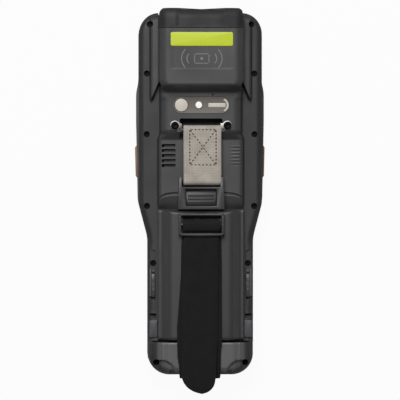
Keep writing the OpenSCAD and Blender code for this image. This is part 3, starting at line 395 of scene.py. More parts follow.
# %% Woven finish
def woven(name, light, dark, pitch, depth, rough):
    """Cell (i, j) of pitch mm shows |sin(pi u)| where i + j is even and |sin(pi v)| where odd."""
    material, tree, shader = new_material(name)
    uv = add(tree, "TexCoord").outputs["UV"]
    cells = add(tree, "Mapping", Vector=uv, Scale=(1000 / pitch,) * 3)
    parity = add(tree, "TexChecker", Vector=cells, Scale=1.0).outputs["Fac"]
    axis = add(tree, "SeparateXYZ", Vector=cells).outputs
    waves = [calc(tree, "SINE", calc(tree, "MULTIPLY", axis[side], math.pi)) for side in (0, 1)]
    weave = mix(tree, parity, *(calc(tree, "ABSOLUTE", wave) for wave in waves))
    fuzz = add(tree, "TexNoise", Vector=uv, Scale=1000 / 0.5, Detail=3.0)
    wear = add(tree, "TexNoise", Vector=uv, Scale=1000 / 7, Detail=2.0)
    tone = calc(tree, "ADD", calc(tree, "MULTIPLY", weave, fuzz), wear)
    fill(tree, shader, Base_Color=mix(tree, remap(tree, tone, 0.35, 1.25), dark, light),
         Normal=add(tree, "Bump", Strength=1.0, Distance=depth * MM, Height=weave),
         Roughness=rough, Specular_IOR_Level=0.25, Sheen_Weight=0.04, Sheen_Roughness=0.5)
    return material


THREAD_PITCH = 0.9
for name, light, dark in [("grey", "#b8b0a6", "#8f877e"), ("black", "#121212", "#080808")]:
    finishes[name + "_webbing"] = woven("polyamide_webbing_" + name, light, dark, THREAD_PITCH,
                                        0.12, 0.8)
print("thread spacing", THREAD_PITCH, "mm")

# %% [markdown]
# ## From arrays to meshes
#
# Every new surface here is a grid of points worked out with numpy. A grid of n rows and m columns
# has a quad between each four neighbours. If a row is a closed ring, its last column joins its
# first, and the two end rings are closed by fans. Modelling by hand with loop cuts gives the same
# mesh, but a formula keeps every edge radius as a number that can be changed.

# %% Grid and mesh helpers
def lattice(n, m, ring):
    """Quads of an n by m grid as index rows: (i, j), (i, j+1), (i+1, j+1), (i+1, j)."""
    i, j = np.meshgrid(np.arange(n - 1), np.arange(m if ring else m - 1), indexing="ij")
    k = (j + 1) % m
    return np.stack([i * m + j, i * m + k, (i + 1) * m + k, (i + 1) * m + j], -1).reshape(-1, 4)


def shade(mesh, crease=38):
    """Shade a mesh smooth, with a sharp line where it turns by more than crease degrees."""
    mesh.shade_smooth()
    mesh.set_sharp_from_angle(angle=math.radians(crease))


def build(name, points, faces, uv=None):
    """A linked object from points in mm, lists of corner indices and, if woven, a uv per point."""
    mesh = bpy.data.meshes.new(name)
    mesh.from_pydata((np.asarray(points, float) * MM).tolist(), [], [list(f) for f in faces])
    if uv is not None:
        corner = np.empty(len(mesh.loops), int)
        mesh.loops.foreach_get("vertex_index", corner)
        layer = mesh.uv_layers.new(name="UVMap")
        layer.data.foreach_set("uv", (np.asarray(uv, float)[corner] * MM).ravel())
    face_out(mesh)
    shade(mesh)
    return put(name, mesh)


def face_out(mesh):
    """Merge doubles, then turn every face outwards."""
    work = bmesh.new()
    work.from_mesh(mesh)
    bmesh.ops.remove_doubles(work, verts=work.verts, dist=1e-6)
    bmesh.ops.recalc_face_normals(work, faces=work.faces)
    work.to_mesh(mesh)
    work.free()


def rings(name, grid, uv=None):
    """A closed solid from an (n, m, 3) array of rings: quads between them and a fan at each end."""
    n, m = grid.shape[:2]
    points = np.concatenate([grid.reshape(-1, 3), [grid[0].mean(0), grid[-1].mean(0)]])
    j = np.arange(m)
    k = (j + 1) % m
    first = np.stack([np.full(m, n * m), k, j], -1)
    last = np.stack([np.full(m, n * m + 1), (n - 1) * m + j, (n - 1) * m + k], -1)
    faces = [*lattice(n, m, True).tolist(), *first.tolist(), *last.tolist()]
    return build(name, points, faces, uv)


def prisms(name, blanks):
    """Upright prisms from (outline, low, high) triples, as one mesh: outlines are (k, 2) arrays."""
    points, faces, start = [], [], 0
    for outline, low, high in blanks:
        k = len(outline)
        for z in (low, high):
            points.append(np.column_stack([outline, np.full(k, z)]))
        j = np.arange(k)
        sides = np.stack([j, (j + 1) % k, (j + 1) % k + k, j + k], -1)
        faces += (sides + start).tolist()
        faces += [(j[::-1] + start).tolist(), (j + k + start).tolist()]
        start += 2 * k
    return build(name, np.concatenate(points), faces)


print("a closed grid of 3 rings of 8 points has", len(lattice(3, 8, True)), "quads")

# %% Outlines, cuts and dressing
def round_box(x, y, width, length, radius, steps=6):
    """Outline of a rectangle about (x, y) whose corners are quarter circles of one radius."""
    turn = np.radians(np.linspace(0, 90, steps + 1))
    quarter = np.column_stack([np.cos(turn), np.sin(turn)]) * radius
    corner = quarter + [width / 2 - radius, length / 2 - radius]
    sides = [corner, corner[::-1] * [-1, 1], -corner, corner[::-1] * [1, -1]]
    return np.concatenate(sides) + [x, y]


def disc(x, y, radius, steps=32):
    """Outline of a circle about (x, y)."""
    turn = np.linspace(0, 2 * np.pi, steps, endpoint=False)
    return np.column_stack([x + radius * np.cos(turn), y + radius * np.sin(turn)])


def ease(t):
    """Smooth step from 0 to 1: 3 t^2 - 2 t^3 on t clipped to 0..1."""
    t = np.clip(t, 0, 1)
    return t * t * (3 - 2 * t)


def carve(piece, *cutters):
    """Cut solids out of a piece with exact booleans, then drop them."""
    for cutter in cutters:
        change = piece.modifiers.new("cut", "BOOLEAN")
        change.operation, change.solver, change.object = "DIFFERENCE", "EXACT", cutter
        graph = bpy.context.evaluated_depsgraph_get()
        mesh = bpy.data.meshes.new_from_object(piece.evaluated_get(graph))
        piece.modifiers.clear()
        piece.data = mesh
        bpy.data.objects.remove(cutter)
    shade(mesh)


def dress(piece, slot, body="root", stands_for=()):
    """Finish, body (None for a piece that bends) and the nodes that a piece stands for."""
    piece.data.materials.clear()
    piece.data.materials.append(finishes[slot])
    if body:
        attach(piece, body)
    if stands_for:
        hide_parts(*stands_for)
    print(piece.name, len(piece.data.polygons), "faces")
    return piece


print("a rounded box has", len(round_box(0, 0, 20, 10, 2)), "corners")

# %% [markdown]
# ## Rear shell
#
# The back is one moulding: a low flange with rolled edges, two shoulder ridges beside the head, and
# a spine that steps down from the scanner hump to the camera plateau, the loudspeaker floor and the
# finger scoop. It could be boxed out and bevelled. Here it is a profile carried along the length:
# each row is a cross-section with a flat top, a rolled shoulder, a wall, a small fillet, the ridge
# and the flange, and every height and radius is a function of the place along the body.

# %% Plan outline of the case, in mm
CASE_END = 100.2
SHOULDER_AT = 88.3
SHOULDER_LONG, SHOULDER_WIDE = 11.9, 11
SHOULDER_IN = 23.5


def half_width(y):
    """Half width of the case at y: straight runs between corners, smoothed over 5 mm, then the
    rounded shoulders, a quarter ellipse SHOULDER_WIDE wide and SHOULDER_LONG long."""
    y = np.asarray(y, float)
    at = [-102.5, -25.5, -5, 39.8, 55.8, 61.8, CASE_END]
    wide = [29.5, 29.5, 34.9, 35.8, 35.8, 34.5, 34.5]
    smooth = np.mean([np.interp(y + shift, at, wide) for shift in np.linspace(-2.6, 2.6, 9)], 0)
    turn = np.clip((y - SHOULDER_AT) / SHOULDER_LONG, 0, 1)
    corner = SHOULDER_IN + SHOULDER_WIDE * np.sqrt(1 - turn ** 2)
    return np.minimum(smooth, corner)


def rim_distance(x, y):
    """Distance in mm from (x, y) to the plan outline, by the nearest of its densely placed points."""
    run = np.concatenate([np.linspace(-110, 88, 400),
                          SHOULDER_AT + SHOULDER_LONG * np.sin(np.linspace(0, 1.57, 60))])
    end = np.column_stack([np.linspace(SHOULDER_IN, 0, 40), np.full(40, CASE_END)])
    rim = np.concatenate([np.column_stack([half_width(run), run]), end])
    gap = np.hypot(np.abs(x)[..., None] - rim[:, 0], y[..., None] - rim[:, 1])
    return gap.min(-1)


print("case ends at", CASE_END, "and is", float(2 * half_width(50)), "mm wide at its triggers")

# %% Heights along the body, in mm
FLANGE, FLOOR, PLATEAU, HUMP = 18.5, 22, 26.5, 36


def spine_height(y):
    """Height of the spine's flat top at y: HUMP, PLATEAU, FLOOR, then the finger scoop, which
    starts with a crease and gets steeper. A groove crosses the floor at -3.1."""
    at = [-12.6, 29.2, 33.3, 34.4, 55.4, 56.1, 59.1, 60.0, 100]
    high = [FLOOR, FLOOR, PLATEAU - 0.6, PLATEAU, PLATEAU, PLATEAU + 0.6, HUMP - 0.7, HUMP, HUMP]
    runs = np.mean([np.interp(y + shift, at, high) for shift in np.linspace(-0.3, 0.3, 7)], 0)
    deep = np.clip((-3.9 - y) / 6.8, 0, 1)
    scoop = 2.4 * deep + 0.8 * (1 - np.sqrt(1 - deep ** 2))
    return runs - scoop - 0.8 * np.exp(-((y + 3.1) / 0.35) ** 2)


def ridge_height(y):
    """Height of the shoulder ridges: 4.5 above the flange, and down to it at both ends."""
    return FLANGE + 4.5 * ease((y - 50.6) / 2.4) * (1 - ease((y - 95.4) / 3.8))


def ridge_inside(x, y):
    """Share of the ridge that stands at (x, y): a slanting cut on its inner side ends it in a
    point, so it is 0 inside the line from (22.4, 61.5) to (27.2, 50.6) and 1 outside it."""
    return ease((x - np.interp(y, [50.6, 61.5], [27.2, 22.4])) / 1.2)


print("ridge top", float(ridge_height(75)), "and hump", float(spine_height(75)))


# %% Cross-sections
ROLL = 1.6
RIM_ROLL, RIM_DROP = 3.6, 3.5


def section(y):
    """Right half of the cross-section at each y, from the middle out, as (n, m) arrays x and z.

    In order: flat top, rolled shoulder, fillet at the wall's foot, ridge crest, the ridge's outer
    roll, its foot, and the flange out to the rim. Last, the rim is rolled down by
    FLANGE - z = RIM_DROP (1 - sqrt(1 - (1 - d / RIM_ROLL)^2)), with d the way to the outline.
    """
    y = np.asarray(y, float)[:, None]
    top, foot = spine_height(y), ridge_height(y)
    step = np.maximum(top - foot, 0.05)
    half = 24 - 1.3 * ease((y - 29.6) / 3) * ease((62.5 - y) / 4) - 0.5 * ease((y - 57) / 3)
    across, down = np.minimum(5, np.maximum(1.2, step * 0.8)), np.minimum(5, step * 0.8)
    heel = np.minimum(1.0, step * 0.18)
    quarter = np.radians(np.linspace(0, 90, 10))[None]
    flat = np.concatenate([np.linspace(0, 0.8, 8), [0.83, 0.86, 0.93]])[None] * (half - across)
    xs = [flat, half - across + across * np.sin(quarter)]
    zs = [top + 0 * flat, top - down + down * np.cos(quarter)]
    bend = np.radians(np.linspace(0, 90, 5))[None]
    xs.append(half + 0.03 + 0.9 * (1 - np.cos(bend)))
    zs.append(foot + heel * (1 - np.sin(bend)))
    rise, edge = foot - FLANGE, 25.2 + 3.05 * ease((y - 42) / 6)
    crest = np.linspace(0.1, 1, 12)[None]
    inner, outer = half + 0.93, edge - ROLL
    xs.append(inner + (outer - inner) * crest)
    zs.append(foot + 0 * crest)
    roll = np.radians(np.linspace(10, 90, 7))[None]
    xs.append(outer + ROLL * np.sin(roll))
    zs.append(foot - rise * 0.75 * (1 - np.cos(roll)))
    xs.append(edge + 0.8 * (1 - np.cos(bend[:, 1:])))
    zs.append(FLANGE + rise * 0.25 * (1 - np.sin(bend[:, 1:])))
    rim = half_width(y)
    spread = np.concatenate([np.linspace(0.06, 0.6, 5),
                             1 - 0.4 * np.cos(np.radians(np.linspace(10, 90, 13)))])[None]
    xs.append((edge + 0.8) + (rim - edge - 0.8) * spread)
    zs.append(FLANGE + 0 * y * spread)
    x, z = np.concatenate(xs, 1), np.concatenate(zs, 1)
    over = np.clip(z - FLANGE, 0, foot - FLANGE) * (x > half)
    z = z - over * (1 - ridge_inside(x, y))
    # a hair's breadth between neighbours keeps every quad open, also where the case is narrow
    hair = 1e-4 * np.arange(x.shape[1])
    x = np.maximum.accumulate(x, 1) + hair
    x = np.minimum(x, rim * (1 - hair[::-1]))
    far = np.clip(rim_distance(x, y + 0 * x) / RIM_ROLL, 0, 1)
    rolled_edge = FLANGE - RIM_DROP + RIM_DROP * np.sqrt(1 - (1 - far) ** 2)
    z = np.minimum(z, rolled_edge + np.maximum(z - FLANGE, 0) * ease(far))
    return x, z


def mesh_lines():
    """Rows along the body: close together where the height changes, wide apart where it doesn't."""
    runs = [(-84.3, -29, 16), (-28, -12.8, 12), (-12.6, -4.1, 26), (-3.9, -2.3, 13), (-2, 14, 18),
            (14.2, 26.2, 49), (27, 36, 30), (37, 53.4, 16), (53.8, 64, 52), (65, 67.2, 4),
            (67.5, 69.7, 9), (70.5, 88, 14), (SHOULDER_AT, 95, 16)]
    turn = np.radians(np.linspace(36, 89.9, 28))
    return np.concatenate([np.linspace(*run) for run in runs]
                          + [SHOULDER_AT + SHOULDER_LONG * np.sin(turn)])


rows = mesh_lines()[:, None]
x, z = section(rows[:, 0])
y = rows + 0 * x
# the edges of the finger scoop are bowed: its foot like a shallow arc, its crease flat in the middle
part = np.minimum(x, 24) / 24
foot_bow = (1.1 - 2.2 * part ** 2) * np.interp(y, [-12.6, -10.6, -6.7], [0, -1, 0])
crease_bow = (2.4 - 3.8 * part ** 8) * np.interp(y, [-6.7, -2.9, 3.5], [0, 1, 0])
y = y + (foot_bow + crease_bow) * (x < 24.2)
print("rear shell grid:", x.shape)

# %% Panel, ribs and the shell itself
PANEL_DEPTH = 0.22
RIB_HEIGHT, RIB_PITCH = 0.15, 1.9
SHELL_BASE = 12.0
panel = ease((16.9 - x) / 0.5) * ease((rows - 68.2) / 0.6) * (x < 18)
z = z - PANEL_DEPTH * panel
# grip ribs on the right of the loudspeaker floor: a cosine along y, faded at its four sides
ribs = RIB_HEIGHT * np.cos(2 * np.pi * (rows - 14) / RIB_PITCH)
ribs = ribs * ease((x - 17.4) / 0.4) * ease((22.6 - x) / 0.4)
ribs = ribs * ease((rows - 14.2) / 0.4) * ease((26 - rows) / 0.4)
base = np.stack([x[:, -1], y[:, -1], np.full(len(x), SHELL_BASE)], -1)[:, None]
left, right = [np.concatenate([np.stack([x, y, height], -1), base], 1) for height in (z, z + ribs)]
rear = rings("rear_shell", np.concatenate([left[:, :0:-1] * [-1, 1, 1], right], 1))
print("rear shell:", len(rear.data.vertices), "points")

# %% [markdown]
# ## Holes and pockets of the rear shell
#
# The screws sit at the bottom of deep round holes, the loudspeaker speaks through five slots, and
# the camera window, the strap bar, the battery and the grip catches each have a pocket. Booleans
# cut them here because the openings cross the rows of the shell at will. Solids in one cutter
# mustn't touch, so they come in small groups.

# %% Cut the openings
SCREWS = [(28.5, 93.8), (30.1, 66.2), (30.2, 32.2), (30.0, -8.0), (26.6, -40.0)]
WINDOW_Y = 48.4
# battery bay and the room for the head cap
carve(rear, prisms("bay_cut", [(round_box(0, -47.6, 43.6, 70.8, 1), 13.4, 50)]))
carve(rear, prisms("nose_cut", [(round_box(0, 101, 47.4, 19.8, 0.5), 11, 50)]))
# seat of the camera window, pocket of the strap bar, microphone hole, then the loudspeaker slots
carve(rear, prisms("pocket_cut", [(round_box(0, WINDOW_Y, 31.9, 9.6, 4.75, 12), 25.1, 50),
                                  (round_box(0, 35.2, 24, 11.5, 1), 17.5, 50),
                                  (disc(6.5, 54.3, 0.5, 16), 22.5, 30)]))
carve(rear, prisms("slot_cut", [(round_box(-18, 25.8 - 2.8 * k, 7.7, 1.8, 0.4), 14.5, 30)
                                for k in range(5)]))
# on both sides: screw holes, catch pockets, ear seats, and the steps beside the cover and heel
for side in (-1, 1):
    carve(rear, prisms("screw_cut", [(disc(side * px, py, 1.75), 15.3, 30) for px, py in SCREWS]),
          prisms("catch_cut", [(round_box(side * 26.6, -53.2, 2.6, 14.8, 0.6), 15.9, 30),
                               (round_box(side * 26.7, -69.5, 3.6, 2.6, 0.5), 15.6, 30)]),
          prisms("ear_cut", [(disc(side * 14.7, 37, 2.9), 25.6, 30),
                             (round_box(side * 12, 35.6, 4.4, 5.4, 0.6), 23, 25.5)]),
          prisms("step_cut", [(round_box(side * 27.4, -46, 4.4, 27, 1.6), 17.5, 30),
                              (round_box(side * 25.2, -84.0, 4.4, 1.1, 0.2), 17, 30)]))
dress(rear, "rear_shell", stands_for=["rear_case"])
print("rear shell after the cuts:", len(rear.data.vertices), "points")

# %% [markdown]
# ## Head cap
#
# The cap closes the head over the scanner. Seen from the back its front edge has two lobes with a
# shallow dip between them. It is the same kind of carried profile: an arch across the width whose
# top falls towards the nose, with the middle third set back and a little lower.

# %% Cap surface
def arch(width, top, foot, radius, steps=9):
    """Half section from the middle out: flat top, a quarter circle of the radius, a straight side."""
    turn = np.radians(np.linspace(0, 90, steps))
    x = np.concatenate([np.linspace(0, width / 2 - radius, 24), width / 2 - radius
                        + radius * np.sin(turn), [width / 2]])
    z = np.concatenate([np.full(24, top), top - radius + radius * np.cos(turn), [foot]])
    return x, z


def both_halves(half):
    """Full ring from a right half that starts at x = 0."""
    return np.concatenate([half[::-1][:-1] * [-1, 1, 1], half])


CAP_START, NOSE_START = 91.4, 97.4
NOSE_LONG, NOSE_DROP = 5.1, 4.6
turn = np.radians(np.linspace(8, 90, 16))
reach = np.concatenate([np.linspace(CAP_START, NOSE_START, 10), NOSE_START + NOSE_LONG * np.sin(turn)])
# the roll's radius is a hair longer than the nose, so that its last row isn't upright
nose = np.clip((reach - NOSE_START) / (NOSE_LONG + 0.02), 0, 1)
tops = np.interp(reach, [CAP_START, 98.5], [35.7, 35.4]) - NOSE_DROP * (1 - np.sqrt(1 - nose ** 2))
widths = np.interp(reach, [CAP_START, 98.5, 101.3, 102.5], [46.8, 46.8, 45.6, 42.8])
cap_rows = []
for place, top, width in zip(reach, tops, widths):
    cx, cz = arch(width, top, 12.3, 5)
    dip = 0.45 * ease((14.4 - cx) / 1.3) * ease((place - CAP_START) / 0.6)
    back = 1.3 * ease((13.4 - cx) / 3.4) * ease((place - 92) / 10)
    cap_rows.append(both_halves(np.column_stack([cx, place - back, cz - dip * (cz > 28)])))
cap = rings("head_cap_shell", np.array(cap_rows))


# the scan window is a hole in the nose, so its cutters are turned to face forward
def face_forward(cutter):
    """Turn an upright cutter so that its outline lies in X and Z: (x, y, z) becomes (x, z, y)."""
    at = np.empty(len(cutter.data.vertices) * 3)
    cutter.data.vertices.foreach_get("co", at)
    cutter.data.vertices.foreach_set("co", at.reshape(-1, 3)[:, [0, 2, 1]].ravel())
    face_out(cutter.data)
    return cutter


window = face_forward(prisms("window_cut", [(round_box(0, 23, 30.3, 12.3, 2.5), 98.5, 110)]))
throat = face_forward(prisms("throat_cut", [(round_box(0, 23, 27, 9, 1.5), 94, 99)]))
room = prisms("room_cut", [(round_box(0, 93.5, 42.8, 9.4, 1), 11, 31.6)])
carve(cap, window, throat, room)
dress(cap, "head_cap", stands_for=["head_cap"])

# %% [markdown]
# ## Battery cover
#
# The cover is a second moulding over the battery. A broad bulge for the palm runs down its middle,
# with a narrow flat rail on each side. Its flank is round above and hollow below: the slope grows
# as the square of the way to x = 19.6, where it is 1.2, and falls evenly to 0 at x = 23. The same
# section is carried along the whole length and sinks in a rolled edge at both ends. The upper end
# is bowed like the finger scoop beside it.

# %% Cover surface
STEEPEST = 1.2
RAIL_TOP = 22.7
across = np.concatenate([np.linspace(0, 13, 10), np.linspace(13.5, 23, 32)])
round_part = np.clip((across - 13.5) / 6.1, 0, 1)
hollow_part = np.clip((23 - across) / 3.4, 0, 1)
# the slope summed up: a third of 6.1 over the round part and half of 3.4 over the hollow part
bulge = np.where(across < 19.6, RAIL_TOP + STEEPEST * (1.7 + 2.033 * (1 - round_part ** 3)),
                 RAIL_TOP + STEEPEST * 1.7 * hollow_part ** 2)
bulge = bulge + 0.25 * (1 - np.minimum(across / 14, 1) ** 2)
rail_x = [23.3, 23.6, 23.8, 23.93, 24.0, 24.0]
rail_z = [22.75, 22.75, 22.62, 22.4, 21.5, 19.4]
across, bulge = np.append(across, rail_x), np.append(bulge, rail_z)
fade = np.linspace(0, 1, 9)
along = np.concatenate([-10.6 - 1.6 * fade ** 2, np.linspace(-12.8, -80.9, 60),
                        -83.3 + 1.8 * (1 - fade) ** 2])
drop = 1.6 * (1 - np.sqrt(1 - np.clip((along + 12.2) / 1.6, 0, 1) ** 2))
drop += 2.6 * (1 - np.sqrt(1 - np.clip((-81.5 - along) / 1.8, 0, 1) ** 2))
cover_rows = []
for place, sink in zip(along, drop):
    bow = (1.1 - 2.2 * (across / 24) ** 2) * np.interp(place, [-26, -10.6], [0, -1])
    level = np.where(bulge > 19.5, np.maximum(bulge - sink, 19.5), bulge)
    cover_rows.append(both_halves(np.column_stack([across, place + bow, level])))
cover = rings("battery_cover_shell", np.array(cover_rows))
# room for the battery, and a shallow well under the strap frame
carve(cover, prisms("cavity_cut", [(round_box(0, -46.9, 43.2, 68.6, 2), 12, 21.6)]),
      face_forward(prisms("battery_cut", [(round_box(0, 21.15, 40.6, 6.3, 2.1), -76.5, -13.5)])),
      prisms("well_cut", [(round_box(0, -17.6, 20.2, 7.2, 0.6), 25.4, 40)]))
dress(cover, "cover_shell", "battery_cover")
hooks = prisms("cover_hooks", [(round_box(side * 6.6, -84.1, 6, 3.6, 0.4), 20.2, 21.8)
                               for side in (-1, 1)])
dress(hooks, "cover_shell", "battery_cover", ["battery_cover"])

# %% [markdown]
# ## Heel cap
#
# The heel closes the foot of the case and takes the knocks when the terminal is dropped. Its middle
# stands proud of the flanks, and a round bite is taken out of each corner above the screw. It is a
# height field: a level per point, less the steps of the flanks, less the bite and a notch, then
# rolled down to the plan outline by z = foot + (z - foot) sqrt(1 - (1 - d / 4.4)^2), with d the
# distance to the outline. The outline is a rectangle with corners of radius 12.

# %% Heel surface
ROUND, CORNER_X, CORNER_Y = 12, 17.5, -90.5
HEEL_TOP, HEEL_FOOT = 26, 14.5
turn = np.radians(np.linspace(0, 89.5, 34))
heel_y = np.concatenate([[-84.35, -84.5, -84.9, -85.4], np.linspace(-86, CORNER_Y, 8),
                         CORNER_Y - ROUND * np.sin(turn[1:])])
share = np.concatenate([np.linspace(0, 0.7, 24), np.linspace(0.71, 0.9, 24),
                        0.9 + 0.1 * np.sin(np.radians(np.linspace(8, 90, 12)))])
heel_rows = []
for place in heel_y:
    past = np.clip(CORNER_Y - place, 0, ROUND)
    reach = CORNER_X + np.sqrt(ROUND ** 2 - past ** 2)
    hx = share * reach
    inside = ROUND - np.hypot(np.clip(hx - CORNER_X, 0, None), past)
    d = np.where((hx > CORNER_X) & (place < CORNER_Y), inside,
                 np.minimum(CORNER_X + ROUND - hx, place - CORNER_Y + ROUND))
    level = HEEL_TOP - 0.4 * np.clip((place + 84.9) / 0.55, 0, 1)
    # steps down to the flank
    level = level - 0.8 * ease((hx - 17.6) / 3.6) - 0.7 * ease((hx - 21.6) / 0.9)
    level = level - 3.8 * ease((hx - 22.4) / 4.0)
    # round bite at the corner and the notch between it and the strap
    bite = np.hypot(hx - 22.6, place + 102.4)
    level = level - 2.2 * ease((8.6 - bite) / 0.7) - 0.6 * ease((8.2 - bite) / 6)
    level = level - 1.6 * ease((1.3 - np.abs(hx - 15.9)) / 0.5) * ease((-99.6 - place) / 0.5)
    level = HEEL_FOOT + (level - HEEL_FOOT) * np.sqrt(1 - (1 - np.clip(d / 4.4, 0, 1)) ** 2)
    side = np.column_stack([hx, np.full(len(hx), place), level])
    heel_rows.append(both_halves(np.concatenate([side, [[reach, place, 12.3]]])))
heel = rings("heel_cap_shell", np.array(heel_rows))
# slot of the strap, room for the socket, seats of the cover's hooks, then the two screws
carve(heel, prisms("strap_cut", [(round_box(0, -101, 22.8, 5, 0.4), 16.9, 20.1)]),
      prisms("heel_room", [(round_box(0, -93.1, 25.6, 10, 1), 11, 16)]),
      prisms("hook_cut", [(round_box(0, -85.2, 20.6, 4, 0.3), 19.6, 22.6)]))
for side in (-1, 1):
    carve(heel, prisms("heel_screw_cut", [(disc(side * 24.9, -95.5, 1.75), 15.3, 30)]))
dress(heel, "heel_shell", stands_for=["heel_cap"])

# %% [markdown]
# ## Webbing
#
# Straps are flat woven bands with rounded selvedges. Each is a thin rounded section swept along a
# path in the plane x = 0, with its left and right edge given separately so that a band can taper to
# a tongue. The hand strap is one band: it comes out of the slot in the heel, runs up the cover,
# turns round the inner bar of the frame and lies back over itself as the free tail.

# %% Band sweep
def spread(path, step):
    """Points at even steps along a polyline, so a curve stays smooth where the path bends."""
    path = np.asarray(path, float)
    run = np.concatenate([[0], np.cumsum(np.hypot(*np.diff(path, axis=0).T))])
    at = np.linspace(0, run[-1], int(run[-1] / step) + 1)
    return np.column_stack([np.interp(at, run, path[:, k]) for k in range(2)]), at


def arc(y, z, radius, start, end, steps=24):
    """Points on a circle about (y, z): y + r cos a, z + r sin a, with the angles in degrees."""
    a = np.radians(np.linspace(start, end, steps))
    return np.column_stack([y + radius * np.cos(a), z + radius * np.sin(a)])


def band(name, path, at, left, right, thick, crown=0.12):
    """Closed band along (y, z) points: each ring goes over the top and back along the underside.

    The top sinks by crown at both edges, and the uv gives the weave x and the way along, in mm.
    """
    along = np.gradient(path, axis=0)
    along /= np.linalg.norm(along, axis=1)[:, None]
    normal = np.column_stack([-along[:, 1], along[:, 0]])
    r = thick / 2
    turn = np.radians(np.linspace(90, -90, 9))[1:-1]
    flat = np.linspace(0, 1, 13)
    grid, uv = [], []
    for k in range(len(path)):
        low, high = left[k] + r, right[k] - r
        x = np.concatenate([low + (high - low) * flat, high + r * np.cos(turn),
                            high - (high - low) * flat, low - r * np.cos(turn)])
        h = np.concatenate([np.full(13, r) - crown * (2 * flat - 1) ** 4, r * np.sin(turn) * 0.9,
                            np.full(13, -r), -r * np.sin(turn) * 0.9])
        grid.append(np.column_stack([x, path[k, 0] + normal[k, 0] * h, path[k, 1] + normal[k, 1] * h]))
        uv.append(np.column_stack([x + h, np.full(len(x), at[k])]))
    uv = np.concatenate(uv + [uv[0][:1], uv[-1][:1]])
    return rings(name, np.array(grid), uv)


print("sweep for both straps ready")

# %% Hand strap
road = np.concatenate([[[-99.9, 18.9], [-102.4, 18.9]], arc(-102.4, 20.4, 1.5, 270, 180, 8),
                       [[-103.4, 22.6], [-102.9, 24.2], [-101.8, 25.6], [-99.8, 26.5],
                        [-96.5, 27.0], [-92, 27.2], [-87.7, 27.7], [-83.3, 28.3],
                        [-79, 28.4], [-20, 28.4]],
                       arc(-18.4, 30.3, 1.9, -90, 90), arc(-20.5, 31.2, 1.0, 90, 150, 6),
                       arc(-22.8, 31.2, 1.0, -30, -90, 6),
                       [[-28, 30.2], [-96, 30.2], [-104, 30.0], [-109, 29.6], [-112.8, 29.1]]])
path, at = spread(road, 0.55)
y = path[:, 0]
tail = at > at[np.argmax(y)]
left = np.where(tail, np.interp(y, [-105, -83, -24, -19], [-11.1, -11.0, -9.6, -10.5]),
                np.interp(y, [-103, -97.8, -92, -76, -60, -46, -30, -25, -20],
                          [-11.9, -12.4, -13.3, -13.6, -12.4, -11.4, -11.2, -10.8, -10.6]))
right = np.where(tail, np.interp(y, [-105, -83, -24, -19], [7.9, 8.9, 9.8, 10.9]),
                 np.interp(y, [-90, -84, -40, -20], [10.9, 11.5, 11.4, 10.9]))
# the tongue is cut by hand: rounder on its right side, slanting on its left
to_end = at[-1] - at
left_in = np.interp(to_end, [0, 0.5, 1.3, 2.6, 4.2, 6.2, 8.2, 10],
                    [11, 8.9, 6.6, 4.4, 2.6, 1.2, 0.4, 0])
right_in = np.interp(to_end, [0, 0.5, 1.3, 2.6, 4.2, 6.2, 8.2],
                     [7.2, 5.3, 3.6, 2.1, 1.0, 0.3, 0])
left, right = left + left_in * tail, right - right_in * tail
strap = band("hand_strap", path, at, left, right, 1.6)
dress(strap, "black_webbing", None, ["strap_base", "strap_foot", "strap_tail", "tail_tip"])
# the stretch over the hinge is shared between the cover and the case
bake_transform(strap)

# %% Grey tab
loop = np.concatenate([[[14, 26.15], [28.5, 26.0], [31.5, 24.6]], arc(34.6, 24.6, 1.95, -120, 90),
                       [[6.1, 27.35]], arc(6.1, 25.4, 1.95, 90, 250),
                       [[9.0, 24.8], [11.2, 25.85], [13.4, 26.0]]])
path, at = spread(loop, 0.4)
tab = band("webbing_tab_band", path, at, np.full(len(at), -9.9), np.full(len(at), 11.3), 1.25, 0.08)
dress(tab, "grey_webbing", stands_for=["webbing_tab"])

# %% [markdown]
# ## Small parts on the back
#
# Clips, lamps, blocks and labels are soft-edged slabs. One function makes them all: the outline of a
# rounded rectangle is repeated at several heights, and each repeat is drawn in by an inset, so the
# list of (inset, height) pairs is the edge profile. A bevel on a box would do the same by hand.

# %% Slabs from an edge profile
def slab(name, x, y, width, length, radius, profile, steps=8):
    """Closed solid whose outline is a rounded rectangle, with (inset, z) pairs as its edge."""
    grid = []
    for inset, z in profile:
        outline = round_box(x, y, width - 2 * inset, length - 2 * inset,
                            max(radius - inset, 0.04), steps)
        grid.append(np.column_stack([outline, np.full(len(outline), z)]))
    return rings(name, np.array(grid))


def soft_top(low, high, radius):
    """Profile that stands straight from low and ends in a quarter circle at high."""
    a = np.radians(np.linspace(0, 90, 5))
    return [(0, low), *zip(radius * (1 - np.cos(a)), high - radius + radius * np.sin(a))]


print("a soft edge has", len(soft_top(0, 1, 0.3)), "levels")

# %% Sticker, camera window and lamps
sticker = slab("yellow_sticker", 0, 85.0, 34.7, 7.7, 1.0, soft_top(35.95, 36.13, 0.06))
dress(sticker, "yellow_film", stands_for=["sticker"])
window = slab("camera_window_pane", 0, WINDOW_Y, 31.6, 9.3, 4.6,
              [(0, 25.3), (0, 26.1), (0.06, 26.2), (0.2, 26.22), (0.35, 26.15)], 16)
dress(window, "lens_window", stands_for=["camera_window"])
